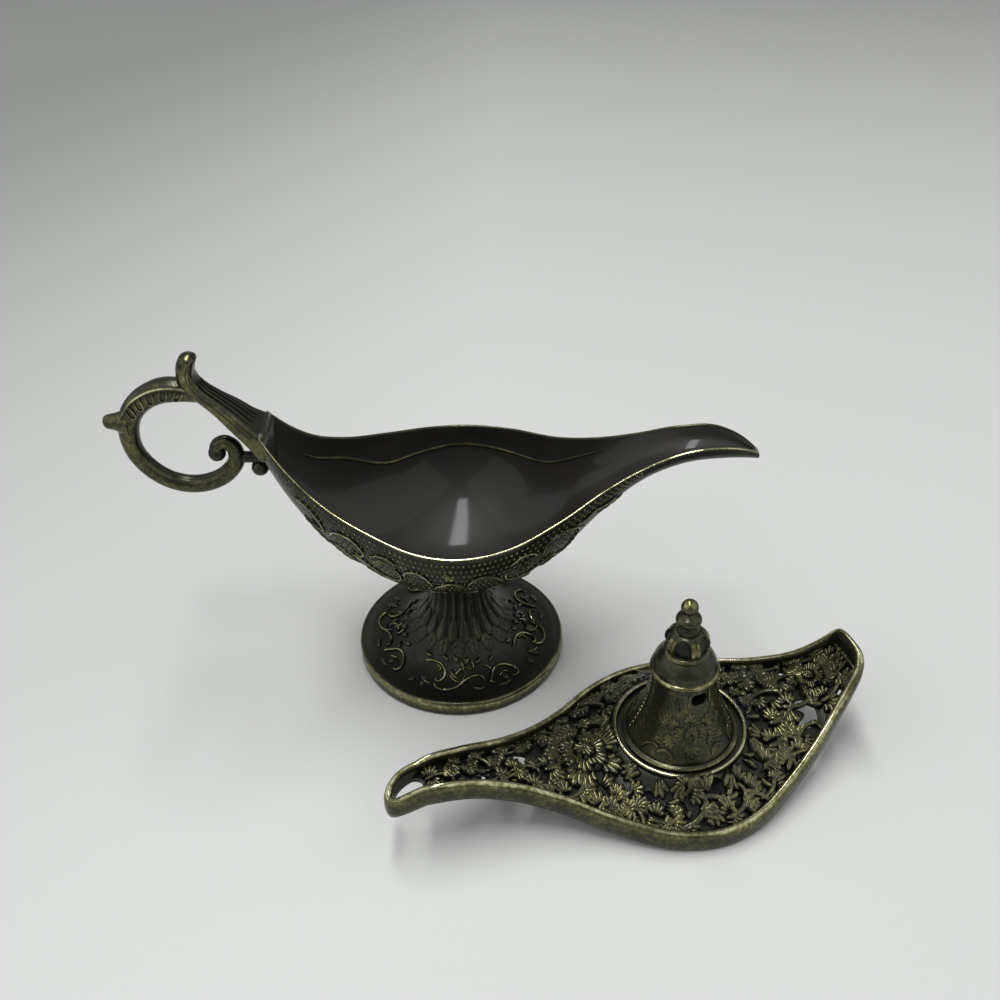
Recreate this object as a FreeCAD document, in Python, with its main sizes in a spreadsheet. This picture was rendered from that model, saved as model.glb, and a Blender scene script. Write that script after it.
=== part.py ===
import FreeCAD, Part
import math
import os
import Sketcher
from FreeCAD import Placement, Rotation, Vector

# Genie oil lamp of cast metal: an open boat-shaped bowl with a spout, on a fluted foot, with a scroll
# handle, and an openwork lid with a turret that lies beside it. Millimetres, +Z up, +X towards the
# spout, and the origin in the middle of the foot's underside.

SIZES = {
    # foot
    "foot_radius": 19.0,
    "foot_edge_height": 2.2,
    "foot_edge_round": 0.5,
    "foot_top_height": 2.9,
    "foot_brim": 2.4,
    "flare_height": 8.0,
    "flare_radius": 7.4,
    "flare_bend": 13.4,
    "stem_radius": 5.0,
    "stem_bend": 11.4,
    "stem_straight": 3.9,
    "stem_height": 18.9,
    "foot_wall": 1.7,
    "hollow_rim_radius": 16.6,
    "hollow_rim_height": 1.2,
    "flute_count": 20.0,
    "flute_radius": 0.55,
    "flute_depth": 0.35,
    # joint between the foot and the bowl
    "spigot_radius": 2.6,
    "spigot_length": 7.9,
    "web_thickness": 3.0,
    "fit_clearance": 0.05,
    "screw_radius": 1.5,
    "screw_length": 8.0,
    "screw_head_radius": 2.8,
    "screw_head_height": 1.6,
    "screw_slot_width": 0.7,
    "screw_slot_depth": 0.8,
    "washer_thickness": 0.6,
    "washer_radius": 3.4,
    # bowl and spout
    "bowl_length": 82.5,
    "heel_reach": 31.3,
    "bowl_half_width": 19.4,
    "boss_height": 1.0,
    "rim_rise": 13.3,
    "bowl_depth": 16.4,
    "bowl_wall": 1.1,
    "lip_end_wall": 1.2,
    # handle
    "neck_length": 18.5,
    "neck_half_width": 4.2,
    "neck_half_height": 2.65,
    "neck_drop": 3.0,
    "ring_radius": 9.3,
    "ring_centre_reach": 14.4,
    "ring_centre_drop": 2.7,
    "ring_tube_radius": 1.5,
    "knob_radius": 1.2,
    "bridge_radius": 1.0,
    "ball_radius": 1.5,
    # lid
    "lid_height": 4.0,
    "lid_wall": 1.0,
    "lid_recess": 2.2,
    "lid_plate": 1.2,
    "lid_crown": 5.9,
    "opening_length": 4.4,
    "opening_width": 2.8,
    "collar_radius": 11.1,
    "collar_wall": 0.75,
    "collar_height": 8.4,
    "collar_reach": 0.7,
    "floor_height": 7.4,
    "floor_thickness": 1.0,
    # turret
    "flange_radius": 9.6,
    "flange_thickness": 0.8,
    "bell_radius": 8.8,
    "bell_start": 1.3,
    "bell_top_radius": 5.1,
    "bell_height": 14.1,
    "bell_bend": 27.0,
    "turret_wall": 1.0,
    "turret_web": 0.8,
    "window_width": 2.7,
    "window_height": 2.4,
    "window_drop": 1.6,
    "window_angle": 88.0,
    # finial
    "dome_radius": 5.5,
    "dome_lip_height": 0.9,
    "dome_height": 3.5,
    "dome_bend": 3.2,
    "gallery_radius": 3.85,
    "gallery_height": 0.7,
    "lantern_radius": 3.6,
    "lantern_height": 6.0,
    "lantern_bend": 6.2,
    "neck_radius": 1.45,
    "knop_radius": 1.85,
    "knop_height": 2.6,
    "finial_ball_radius": 1.35,
    "pane_width": 2.6,
    "pane_height": 3.6,
    "pane_depth": 0.45,
    "stud_radius": 1.25,
    "stud_length": 18.0,
    "nut_width": 5.0,
    "nut_thickness": 1.8,
    "lid_washer_radius": 3.2,
    "lid_washer_thickness": 0.5,
    # where the lid lies
    "lid_x": 38.5,
    "lid_y": 28.0,
    "lid_turn": 199.7,
    "lid_pitch": 0.9,
    # cutters reach this far past what they cut
    "overrun": 1.0,
    "cut_tolerance": 0.001,
}

doc = FreeCAD.newDocument("oil_lamp")
sheet = doc.addObject("Spreadsheet::Sheet", "Sizes")
for row, (alias, number) in enumerate(SIZES.items(), start=1):
    sheet.set(f"A{row}", alias)
    sheet.set(f"B{row}", str(number))
    sheet.setAlias(f"B{row}", alias)
doc.recompute()


class Size:
    """A length from the sheet, or a sum of such, with the expression that keeps an object bound to it."""

    def __init__(self, value, text):
        self.value = value
        self.text = text

    def __add__(self, other):
        return Size(self.value + other.value, f"({self.text} + {other.text})")

    def __sub__(self, other):
        return Size(self.value - other.value, f"({self.text} - {other.text})")

    def __mul__(self, share):
        return Size(self.value * share, f"({self.text} * {share})")

    def __neg__(self):
        return Size(-self.value, f"(-{self.text})")


ZERO = Size(0.0, "0")


def size(name):
    """The sheet's value under that alias, bound by name."""
    return Size(float(sheet.get(name)), "Sizes." + name)


def mm(name):
    """The sheet's value as a plain number, for shapes that part functions make."""
    return float(sheet.get(name))


def origin_plane(body, role):
    """The body's own origin plane with that role."""
    return [f for f in body.Origin.OriginFeatures if f.Role == role][0]


def arc_centre(start, end, bend):
    """Centre of the short arc from start to end: left of travel for a positive bend, else right."""
    dx, dy = end[0] - start[0], end[1] - start[1]
    chord = math.hypot(dx, dy)
    rise = math.sqrt(max(bend * bend - chord * chord / 4, 0))
    side = 1 if bend > 0 else -1
    x = (start[0] + end[0]) / 2 - side * rise * dy / chord
    y = (start[1] + end[1]) / 2 + side * rise * dx / chord
    return x, y


def bind(sketch, kind, *terms):
    """Adds a constraint whose last term is a Size, and binds its value to the sheet."""
    *where, length = terms
    sketch.addConstraint(Sketcher.Constraint(kind, *where, length.value))
    sketch.setExpression(f"Constraints[{sketch.ConstraintCount - 1}]", length.text)


def outline(sketch, corners):
    """Draws a closed outline anticlockwise. A corner is (x, y), or (x, y, bend) where an arc of radius
    bend runs to the next corner, bulging outwards for a positive bend and inwards for a negative one."""
    ends = []
    count = len(corners)
    for i, corner in enumerate(corners):
        start = (corner[0].value, corner[1].value)
        after = corners[(i + 1) % count]
        end = (after[0].value, after[1].value)
        if len(corner) == 2:
            first, last = Vector(*start, 0), Vector(*end, 0)
            sketch.addGeometry(Part.LineSegment(first, last))
            ends.append((1, 2))
            continue
        bend = corner[2].value
        x, y = arc_centre(start, end, bend)
        circle = Part.Circle(Vector(x, y, 0), Vector(0, 0, 1), abs(bend))
        a = math.atan2(start[1] - y, start[0] - x)
        b = math.atan2(end[1] - y, end[0] - x)
        if bend > 0:
            sketch.addGeometry(Part.ArcOfCircle(circle, a, b))
            ends.append((1, 2))
        else:
            sketch.addGeometry(Part.ArcOfCircle(circle, b, a))
            ends.append((2, 1))
    for i in range(count):
        after = (i + 1) % count
        sketch.addConstraint(Sketcher.Constraint("Coincident", i, ends[i][1], after, ends[after][0]))
    for i, corner in enumerate(corners):
        point = (i, ends[i][0])
        if corner[0] is ZERO:
            sketch.addConstraint(Sketcher.Constraint("PointOnObject", *point, -2))
        else:
            bind(sketch, "DistanceX", -1, 1, *point, corner[0])
        if corner[1] is ZERO:
            sketch.addConstraint(Sketcher.Constraint("PointOnObject", *point, -1))
        else:
            bind(sketch, "DistanceY", -1, 1, *point, corner[1])
        if len(corner) == 3:
            radius = corner[2] if corner[2].value > 0 else -corner[2]
            bind(sketch, "Radius", i, radius)


def new_sketch(body, role, name):
    """A sketch on one of the body's own origin planes."""
    sketch = body.newObject("Sketcher::SketchObject", name)
    sketch.AttachmentSupport = [(origin_plane(body, role), "")]
    sketch.MapMode = "FlatFace"
    return sketch


def turned_body(name, corners):
    """A body turned about +Z from an outline of radius and height."""
    body = doc.addObject("PartDesign::Body", name)
    sketch = new_sketch(body, "XZ_Plane", name + "_outline")
    outline(sketch, corners)
    turned = body.newObject("PartDesign::Revolution", name + "_turned")
    turned.Profile = sketch
    turned.ReferenceAxis = (sketch, ["V_Axis"])
    turned.Angle = 360
    doc.recompute()
    return body


def feature(name, shape, placement=None):
    """A part feature that holds a shape worked out from the sheet's values."""
    made = doc.addObject("Part::Feature", name)
    made.Shape = shape
    if placement is not None:
        made.Placement = placement
    return made


def cut(name, base, tool):
    """A boolean cut of one object by another."""
    made = doc.addObject("Part::Cut", name)
    made.Base = base
    made.Tool = tool
    doc.recompute()
    return made


def spline(points):
    """An edge along a smooth curve through the points."""
    curve = Part.BSplineCurve()
    curve.interpolate(points)
    return curve.toShape()


def loft(wires):
    """A smooth solid through closed wires."""
    return Part.makeLoft(wires, True, False)


# Between two rows of a table this many steps are filled in.
FILL_STEPS = 3


def filled(rows):
    """The rows of a table with smooth steps between them, by the cubic that keeps every row."""
    last = len(rows) - 1
    steps = []
    for i in range(last):
        around = [rows[max(i - 1, 0)], rows[i], rows[i + 1], rows[min(i + 2, last)]]
        for k in range(FILL_STEPS):
            t = k / FILL_STEPS
            steps.append(tuple(
                (2 * b + (c - a) * t + (2 * a - 5 * b + 4 * c - d) * t**2 + (3 * (b - c) + d - a) * t**3) / 2
                for a, b, c, d in zip(*around)))
    return steps + [tuple(rows[last])]


# The rim is one curve that the bowl and the lid share. Stations run along the bowl from the heel, at
# the handle, to the tip of the spout, as shares of its length. At each one, the half width is a share
# of the greatest one, the rise of the rim above its lowest point a share of the greatest rise, and the
# depth of the keel under the rim a share of the bowl's depth.
STATION_SHARES = (0.0, 0.034, 0.076, 0.137, 0.222, 0.319, 0.404, 0.50, 0.598, 0.682, 0.755, 0.84, 0.925,
                  0.979, 1.0)
WIDTH_SHARES = (0.218, 0.30, 0.397, 0.557, 0.768, 0.958, 1.0, 0.892, 0.634, 0.418, 0.294, 0.224, 0.178,
                0.09, 0.038)
RISE_SHARES = (1.0, 0.714, 0.459, 0.248, 0.105, 0.015, 0.0, 0.038, 0.158, 0.368, 0.556, 0.737, 0.774,
               0.647, 0.549)
DEPTH_SHARES = (0.451, 0.573, 0.70, 0.854, 0.963, 1.0, 0.994, 0.927, 0.756, 0.47, 0.28, 0.22, 0.20,
                0.122, 0.061)


def share_at(shares, along):
    """The share at a place along the bowl, in a straight line between stations."""
    for i in range(len(STATION_SHARES) - 1):
        low, high = STATION_SHARES[i], STATION_SHARES[i + 1]
        if along <= high:
            part = (along - low) / (high - low)
            return shares[i] + (shares[i + 1] - shares[i]) * part
    return shares[-1]


def rim_stations(inset, heel_inset, tip_inset):
    """Places along the rim, moved in by a wall: x, half width, rise of the rim and depth of the keel."""
    length = mm("bowl_length")
    first, last = heel_inset / length, 1 - tip_inset / length
    places = [first] + [s for s in STATION_SHARES if first < s < last] + [last]
    stations = []
    for along in places:
        x = along * length - mm("heel_reach")
        least = inset * LEAST_WIDTH_SHARE
        half_width = max(share_at(WIDTH_SHARES, along) * mm("bowl_half_width") - inset, least)
        depth = max(share_at(DEPTH_SHARES, along) * mm("bowl_depth") - inset, least)
        rise = share_at(RISE_SHARES, along) * mm("rim_rise")
        stations.append((x, half_width, rise, depth))
    return stations


def lowest_rim():
    """Height of the rim amidships: the stem, the boss on it and the bowl above that."""
    return mm("stem_height") + mm("boss_height") + mm("bowl_depth")


# A wall never closes the spout's channel to less than this share of its own thickness.
LEAST_WIDTH_SHARE = 0.35
KEEL_STEPS = 8


def keel_points(x, half_width, top, depth):
    """Points down one side of the bowl, under the keel and up the other side: half an ellipse."""
    angles = [math.pi * k / KEEL_STEPS for k in range(KEEL_STEPS + 1)]
    return [Vector(x, -half_width * math.cos(a), top - depth * math.sin(a)) for a in angles]


def hull_wire(x, half_width, top, depth, freeboard):
    """A section of the bowl: half an ellipse, closed straight across, freeboard above its ends."""
    points = keel_points(x, half_width, top, depth)
    edges = [spline(points)]
    high = Vector(0, 0, freeboard)
    corners = [points[-1], points[-1] + high, points[0] + high, points[0]]
    if freeboard == 0:
        corners = [points[-1], points[0]]
    edges += [Part.makeLine(a, b) for a, b in zip(corners, corners[1:])]
    return Part.Wire(edges)


def hull(inset, heel_inset, tip_inset, freeboard):
    """The bowl's solid form, moved in by a wall and carried up by the freeboard."""
    low = lowest_rim()
    places = rim_stations(inset, heel_inset, tip_inset)
    return loft([hull_wire(x, w, low + rise, depth, freeboard) for x, w, rise, depth in places])


def make_bowl():
    """The bowl and spout in one casting, with the boss underneath that stands on the stem and the
    spigot that goes down inside it."""
    wall = mm("bowl_wall")
    outer = hull(0, 0, 0, 0)
    inner = hull(wall, wall, mm("lip_end_wall"), mm("overrun"))
    seat = mm("stem_height")
    boss = Part.makeCylinder(mm("stem_radius"), mm("boss_height") + wall, Vector(0, 0, seat))
    spigot = Part.makeCylinder(mm("spigot_radius"), mm("spigot_length"),
                               Vector(0, 0, seat - mm("spigot_length")))
    body = outer.fuse([boss, spigot]).cut([inner], mm("cut_tolerance"))
    hole_bottom = seat - mm("spigot_length") - mm("overrun")
    hole = Part.makeCylinder(mm("screw_radius"), mm("screw_length") + mm("overrun") - mm("web_thickness")
                             + mm("washer_thickness"), Vector(0, 0, hole_bottom))
    return feature("bowl", body.cut(hole))


def foot_corners():
    """The foot's outline: a brim with a rounded edge, a flare, a stem, and a hollow underneath."""
    brim = size("foot_radius") - size("foot_brim")
    edge = size("foot_edge_round")
    bore = size("spigot_radius") + size("fit_clearance")
    web_top = size("stem_height") - size("spigot_length")
    web_bottom = web_top - size("web_thickness")
    hole = size("screw_radius") + size("fit_clearance")
    wall = size("foot_wall")
    return [
        (size("hollow_rim_radius"), ZERO),
        (size("foot_radius") - edge, ZERO, edge),
        (size("foot_radius"), edge),
        (size("foot_radius"), size("foot_edge_height"), size("foot_brim") * 0.5),
        (size("foot_radius") - edge, size("foot_top_height")),
        (brim, size("foot_top_height"), -size("flare_bend")),
        (size("flare_radius"), size("flare_height"), -size("stem_bend")),
        (size("stem_radius"), size("stem_height") - size("stem_straight")),
        (size("stem_radius"), size("stem_height")),
        (bore, size("stem_height")),
        (bore, web_top),
        (hole, web_top),
        (hole, web_bottom),
        (size("flare_radius") - wall - wall, web_bottom),
        (size("flare_radius") + wall, size("hollow_rim_height") + wall + wall),
        (size("hollow_rim_radius") * 0.7, size("hollow_rim_height") + wall * 0.8),
        (size("hollow_rim_radius") - edge, size("hollow_rim_height")),
    ]


def flute_cutters():
    """Round bars that follow the stem and its flare, one for each flute."""
    radius = mm("flute_radius")
    top = Vector(mm("stem_radius") + radius - mm("flute_depth"), 0, mm("stem_height") + mm("overrun"))
    drop = Vector(0, 0, -mm("stem_straight") - mm("overrun"))
    bend = mm("stem_bend") - radius + mm("flute_depth")
    centre = top + drop + Vector(bend, 0, 0)
    foot_angle = math.asin((mm("stem_height") - mm("stem_straight") - mm("flare_height")) / mm("stem_bend"))

    def on_bend(angle):
        return centre + Vector(-bend * math.cos(angle), 0, -bend * math.sin(angle))

    end = on_bend(foot_angle)
    way_out = Vector(math.sin(foot_angle), 0, -math.cos(foot_angle)) * radius
    lift = Vector(math.cos(foot_angle), 0, math.sin(foot_angle)) * radius
    path = Part.Wire([
        Part.makeLine(top, top + drop),
        Part.Arc(top + drop, on_bend(foot_angle / 2), end).toShape(),
        Part.makeLine(end, end + way_out + way_out),
    ])
    circle = Part.Wire([Part.makeCircle(radius, top, Vector(0, 0, 1))])
    bar = path.makePipeShell([circle], True, False)
    bar = bar.cut(Part.makeSphere(radius, end + way_out + way_out + lift + lift + lift))
    count = int(mm("flute_count"))
    bars = []
    for k in range(count):
        turned = bar.copy()
        turned.rotate(Vector(0, 0, 0), Vector(0, 0, 1), (k + 0.5) * 360 / count)
        bars.append(turned)
    return feature("flute_cutters", Part.makeCompound(bars))


def make_foot():
    """The fluted foot, with the web inside the stem that the screw pulls on."""
    return cut("foot", turned_body("foot_blank", foot_corners()), flute_cutters())


def ring_body(name, inner, outer, bottom, top):
    """A plain ring, such as a washer."""
    return turned_body(name, [(inner, bottom), (outer, bottom), (outer, top), (inner, top)])


def make_foot_fasteners():
    """The screw that holds the foot to the bowl's spigot, and the washer under its head."""
    web_bottom = size("stem_height") - size("spigot_length") - size("web_thickness")
    washer_bottom = web_bottom - size("washer_thickness")
    head_bottom = washer_bottom - size("screw_head_height")
    hole = size("screw_radius") + size("fit_clearance")
    washer = ring_body("foot_washer", hole, size("washer_radius"), washer_bottom, web_bottom)
    shank = size("screw_radius") - size("fit_clearance") * 0.2
    head = size("screw_head_radius")
    screw = turned_body("foot_screw", [
        (ZERO, head_bottom),
        (head * 0.8, head_bottom),
        (head, head_bottom + size("screw_head_height") * 0.5),
        (head, washer_bottom),
        (shank, washer_bottom),
        (shank, washer_bottom + size("screw_length") - shank * 0.4),
        (shank * 0.6, washer_bottom + size("screw_length")),
        (ZERO, washer_bottom + size("screw_length")),
    ])
    slot_sketch = new_sketch(screw, "XZ_Plane", "slot_outline")
    half = size("screw_slot_width") * 0.5
    slot_top = head_bottom + size("screw_slot_depth")
    slot_low = head_bottom - size("screw_slot_depth")
    outline(slot_sketch, [(-half, slot_low), (half, slot_low), (half, slot_top), (-half, slot_top)])
    slot = screw.newObject("PartDesign::Pocket", "screw_slot")
    slot.Profile = slot_sketch
    slot.Type = 1
    slot.Midplane = True
    doc.recompute()
    return [washer, screw]


# A hoop is a closed section of the handle, square to its middle line in the plane of the lamp.
HALF_HOOP_STEPS = 6


def hoop(centre, heading, half_width, half_height):
    """A closed oval round the centre, square to the heading, an angle in the plane of the handle."""
    halves = []
    for side in (1, -1):
        across = Vector(0, side * half_width, 0)
        up = Vector(-math.sin(heading), 0, math.cos(heading)) * (side * half_height)
        angles = [math.pi * k / HALF_HOOP_STEPS for k in range(HALF_HOOP_STEPS + 1)]
        curve = Part.BSplineCurve()
        curve.interpolate(Points=[centre + across * math.cos(a) + up * math.sin(a) for a in angles],
                          InitialTangent=up, FinalTangent=-up)
        halves.append(curve.toShape())
    return Part.Wire(halves)


def tube_along(points, radii):
    """A round bar of changing thickness, its sections square to the line through the points."""
    wires = []
    last = len(points) - 1
    for k, point in enumerate(points):
        before, after = points[max(k - 1, 0)], points[min(k + 1, last)]
        heading = math.atan2(after.z - before.z, after.x - before.x)
        wires.append(hoop(point, heading, radii[k], radii[k]))
    return loft(wires)


# The neck runs back and up from the heel to the tip of the thumb leaf. Each of its sections has a
# middle as shares of the neck's length, the way it faces in degrees, and its half width and half
# height as shares of those at the heel.
NECK_SECTION_SHARES = (
    (0.0, 0.024, 180, 1.0, 1.0), (-0.127, 0.159, 166, 0.86, 0.79), (-0.257, 0.30, 145, 0.74, 0.645),
    (-0.376, 0.411, 141, 0.60, 0.60), (-0.503, 0.527, 136, 0.52, 0.60), (-0.586, 0.649, 128, 0.47, 0.66),
    (-0.589, 0.776, 108, 0.38, 0.46), (-0.551, 0.892, 75, 0.13, 0.16),
)
# The ring and its volute, and the knob behind it, in shares of the ring's radius from its centre,
# each with the thickness there as a share of the tube's or the knob's.
RING_LINE_SHARES = ((0.56, 0.905), (0.24, 1.01), (-0.12, 1.01), (-0.47, 0.85), (-0.75, 0.54),
                    (-0.87, 0.14), (-0.84, -0.26), (-0.62, -0.66), (-0.31, -0.91), (0.06, -1.01),
                    (0.45, -0.95), (0.80, -0.73), (0.99, -0.41), (0.95, -0.17), (0.81, -0.075),
                    (0.66, -0.17), (0.66, -0.34))
RING_TUBE_SHARES = (1.1, 1.15, 1.2, 1.15, 1.1, 1.05, 1.0, 1.0, 1.0, 1.0, 1.0, 0.95, 0.88, 0.8, 0.75, 0.7,
                    0.65)
KNOB_LINE_SHARES = ((-0.80, 0.36), (-1.0, 0.37), (-1.18, 0.38), (-1.29, 0.40))
KNOB_TUBE_SHARES = (1.15, 1.0, 0.88, 0.4)


def make_handle(bowl):
    """The scroll handle: a neck that carries the rim up into a thumb leaf, a ring that ends in a
    volute, a pointed knob behind, and the bridge and ball that meet the heel again."""
    heel = Vector(-mm("heel_reach"), 0, lowest_rim() + mm("rim_rise"))
    start = heel - Vector(0, 0, mm("neck_drop"))
    length, half_width, half_height = mm("neck_length"), mm("neck_half_width"), mm("neck_half_height")
    neck = loft([hoop(start + Vector(x, 0, z) * length, math.radians(heading), w * half_width,
                      h * half_height) for x, z, heading, w, h in filled(NECK_SECTION_SHARES)])
    centre = heel - Vector(mm("ring_centre_reach"), 0, mm("ring_centre_drop"))
    radius = mm("ring_radius")
    ring_points = [centre + Vector(x, 0, z) * radius for x, z in RING_LINE_SHARES]
    ring = tube_along(ring_points, [s * mm("ring_tube_radius") for s in RING_TUBE_SHARES])
    knob_points = [centre + Vector(x, 0, z) * radius for x, z in KNOB_LINE_SHARES]
    knob = tube_along(knob_points, [s * mm("knob_radius") for s in KNOB_TUBE_SHARES])
    volute = ring_points[BRIDGE_PLACE]
    bridge = Part.makeCylinder(mm("bridge_radius"), heel.x - volute.x, volute, Vector(1, 0, 0))
    ball_radius = mm("ball_radius")
    sink = Vector(ball_radius, 0, mm("bridge_radius") + ball_radius * BALL_SINK_SHARE)
    ball = Part.makeSphere(ball_radius, Vector(heel.x, 0, volute.z) - sink)
    return feature("handle", neck.fuse([ring, knob, bridge, ball]).cut(bowl.Shape))


# The bridge leaves the ring at this one of its points.
BRIDGE_PLACE = 12
# The ball hangs under the bridge, sunk into it by the rest of its radius.
BALL_SINK_SHARE = 0.75


def band_wire(x, half_width, low, high):
    """An upright rectangle across the lid."""
    corners = [Vector(x, -half_width, low), Vector(x, half_width, low), Vector(x, half_width, high),
               Vector(x, -half_width, high)]
    return Part.makePolygon(corners + corners[:1])


def band(inset, heel_inset, tip_inset, reach):
    """The lid's planform as a solid, as high as its edge, moved in by a wall and reaching further up
    and down by reach."""
    height = mm("lid_height")
    places = rim_stations(inset, heel_inset, tip_inset)
    return loft([band_wire(x, w, rise - reach, rise + height + reach) for x, w, rise, _ in places])


# The crown of the openwork at each station, as a share of the lid's crown, above its edge.
CROWN_SHARES = (0.02, 0.03, 0.12, 0.50, 0.70, 0.95, 1.36, 0.83, 0.55, 0.28, 0.12, 0.06, 0.03, 0.01, 0.01)
CROWN_STEPS = 6


def crown_wire(x, half_width, edge, crown, thickness):
    """A section of the openwork plate: two parabolas, one plate thickness apart."""
    shares = [2 * k / CROWN_STEPS - 1 for k in range(CROWN_STEPS + 1)]
    upper = [Vector(x, s * half_width, edge + crown * (1 - s * s)) for s in shares]
    lower = [p - Vector(0, 0, thickness) for p in upper]
    edges = [spline(upper), Part.makeLine(upper[-1], lower[-1]), spline(lower[::-1]),
             Part.makeLine(lower[0], upper[0])]
    return Part.Wire(edges)


# The openings of the openwork: place along the lid, place across as a share of the half width there,
# turn in degrees, and size as a share of the named opening.
OPENING_SHARES = (
    (0.085, 0.0, 90, 0.8), (0.15, 0.42, 150, 0.9), (0.15, -0.42, 30, 0.9), (0.205, 0.0, 90, 1.0),
    (0.235, 0.60, 160, 1.1), (0.235, -0.60, 20, 1.1), (0.33, 0.775, 0, 1.1), (0.33, -0.775, 0, 1.1),
    (0.43, 0.79, 0, 1.1), (0.43, -0.79, 0, 1.1), (0.525, 0.72, 165, 1.1), (0.525, -0.72, 15, 1.1),
    (0.565, 0.25, 110, 1.0), (0.565, -0.25, 70, 1.0), (0.61, 0.62, 150, 0.9), (0.61, -0.62, 30, 0.9),
    (0.66, 0.0, 0, 1.0), (0.72, 0.30, 165, 0.7), (0.72, -0.30, 15, 0.7), (0.80, 0.0, 0, 0.8),
    (0.87, 0.0, 0, 0.8), (0.938, 0.0, 0, 1.0),
)


def opening_cutters():
    """Upright oval bars through the openwork plate."""
    bars = []
    length, width = mm("opening_length"), mm("opening_width")
    for along, across, turn, scale in OPENING_SHARES:
        x = along * mm("bowl_length") - mm("heel_reach")
        half_width = share_at(WIDTH_SHARES, along) * mm("bowl_half_width") - mm("lid_wall")
        room = min(width * scale, half_width * OPENING_ROOM_SHARE)
        oval = Part.Ellipse(Vector(0, 0, 0), max(length * scale, room * OVAL_SHARE) / 2, room / 2)
        face = Part.Face(Part.Wire([oval.toShape()]))
        bar = face.extrude(Vector(0, 0, mm("lid_height") + mm("rim_rise") + mm("lid_crown")))
        bar.rotate(Vector(0, 0, 0), Vector(0, 0, 1), turn)
        bar.translate(Vector(x, across * half_width, 0))
        bars.append(bar)
    return Part.makeCompound(bars)


# In the spout an opening takes at most this share of the half width, and an oval is never rounder.
OPENING_ROOM_SHARE = 1.1
OVAL_SHARE = 1.15


def make_lid(placement):
    """The openwork lid: an upright edge on the bowl's own rim curve, a crowned plate of openwork, and
    the collar with the floor that the turret stands on."""
    wall = mm("lid_wall")
    edge = band(0, 0, 0, 0).cut(band(wall, wall, mm("lip_end_wall"), mm("overrun")))
    half_wall = wall / 2
    thickness = mm("lid_plate")
    wires = []
    for x, half_width, rise, _ in rim_stations(half_wall, half_wall, half_wall):
        along = (x + mm("heel_reach")) / mm("bowl_length")
        low = rise + mm("lid_height") - mm("lid_recess")
        crown = share_at(CROWN_SHARES, along) * mm("lid_crown")
        wires.append(crown_wire(x, half_width, low, crown, thickness))
    middle = Vector(mm("collar_reach"), 0, 0)
    inner = mm("collar_radius") - mm("collar_wall")
    tall = mm("lid_height") + mm("lid_crown") + mm("rim_rise")
    plate = loft(wires).cut(opening_cutters()).cut(Part.makeCylinder(inner, tall, middle))
    floor_low = mm("floor_height") - mm("floor_thickness")
    collar_low = floor_low - mm("lid_plate")
    collar = Part.makeCylinder(mm("collar_radius"), mm("collar_height") - collar_low,
                               middle + Vector(0, 0, collar_low))
    collar = collar.cut(Part.makeCylinder(inner, tall, middle + Vector(0, 0, mm("floor_height"))))
    collar = collar.cut(Part.makeCylinder(inner, floor_low, middle))
    stud_hole = Part.makeCylinder(mm("stud_radius") + mm("fit_clearance"), tall, middle)
    whole = edge.fuse([plate, collar]).cut(stud_hole)
    return feature("lid", whole, placement)


def bell_corners():
    """The turret's outline: a flange, a hollow bell, and a web on top with the hole for the stud."""
    base = size("floor_height")
    top = base + size("bell_height")
    wall = size("turret_wall")
    start = base + size("bell_start")
    web = top - size("turret_web")
    hole = size("stud_radius") + size("fit_clearance")
    return [
        (size("bell_radius") - wall * 0.5, base),
        (size("flange_radius"), base),
        (size("flange_radius"), base + size("flange_thickness")),
        (size("bell_radius"), start, -size("bell_bend")),
        (size("bell_top_radius"), top),
        (hole, top),
        (hole, web),
        (size("bell_top_radius") - wall, web, size("bell_bend") * 1.1),
        (size("bell_radius") - wall, start),
    ]


def window_cutter():
    """The arched smoke window near the top of the bell."""
    width, height = mm("window_width"), mm("window_height")
    top = mm("floor_height") + mm("bell_height")
    box = Part.makeBox(mm("bell_radius"), width, height, Vector(0, -width / 2, 0))
    box.translate(Vector(0, 0, top - mm("window_drop") - height / 2))
    box.rotate(Vector(0, 0, 0), Vector(0, 0, 1), mm("window_angle"))
    return feature("window_cutter", box)


def finial_corners():
    """The finial's outline: a stud, a domed roof with a lip, a gallery, a lantern, a knop and a ball."""
    base = size("floor_height") + size("bell_height")
    stud = size("stud_radius")
    lip = base + size("dome_lip_height")
    gallery = base + size("dome_height")
    sill = gallery + size("gallery_height")
    shoulder = sill + size("lantern_height") - size("knop_height") * 0.5
    neck = sill + size("lantern_height") - size("neck_radius") * 0.5
    knop = neck + size("knop_height") * 0.4
    ball = neck + size("knop_height")
    ball_top = ball + size("finial_ball_radius") * 1.85
    return [
        (ZERO, base - size("stud_length")),
        (stud * 0.8, base - size("stud_length")),
        (stud, base - size("stud_length") + stud * 0.4),
        (stud, base),
        (size("dome_radius") - size("dome_lip_height") * 0.3, base),
        (size("dome_radius"), base + size("dome_lip_height") * 0.5),
        (size("dome_radius") - size("dome_lip_height") * 0.2, lip, size("dome_bend")),
        (size("gallery_radius"), gallery),
        (size("gallery_radius"), sill),
        (size("lantern_radius"), sill + size("gallery_height") * 0.3, size("lantern_bend")),
        (size("lantern_radius") * 0.62, shoulder),
        (size("neck_radius"), neck),
        (size("neck_radius"), neck + size("knop_height") * 0.15),
        (size("knop_radius"), knop),
        (size("knop_radius"), knop + size("knop_height") * 0.35),
        (size("finial_ball_radius") * 0.6, ball, size("finial_ball_radius")),
        (size("finial_ball_radius") * 0.55, ball_top),
        (ZERO, ball_top + size("finial_ball_radius") * 0.1),
    ]


PANE_COUNT = 5


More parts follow.
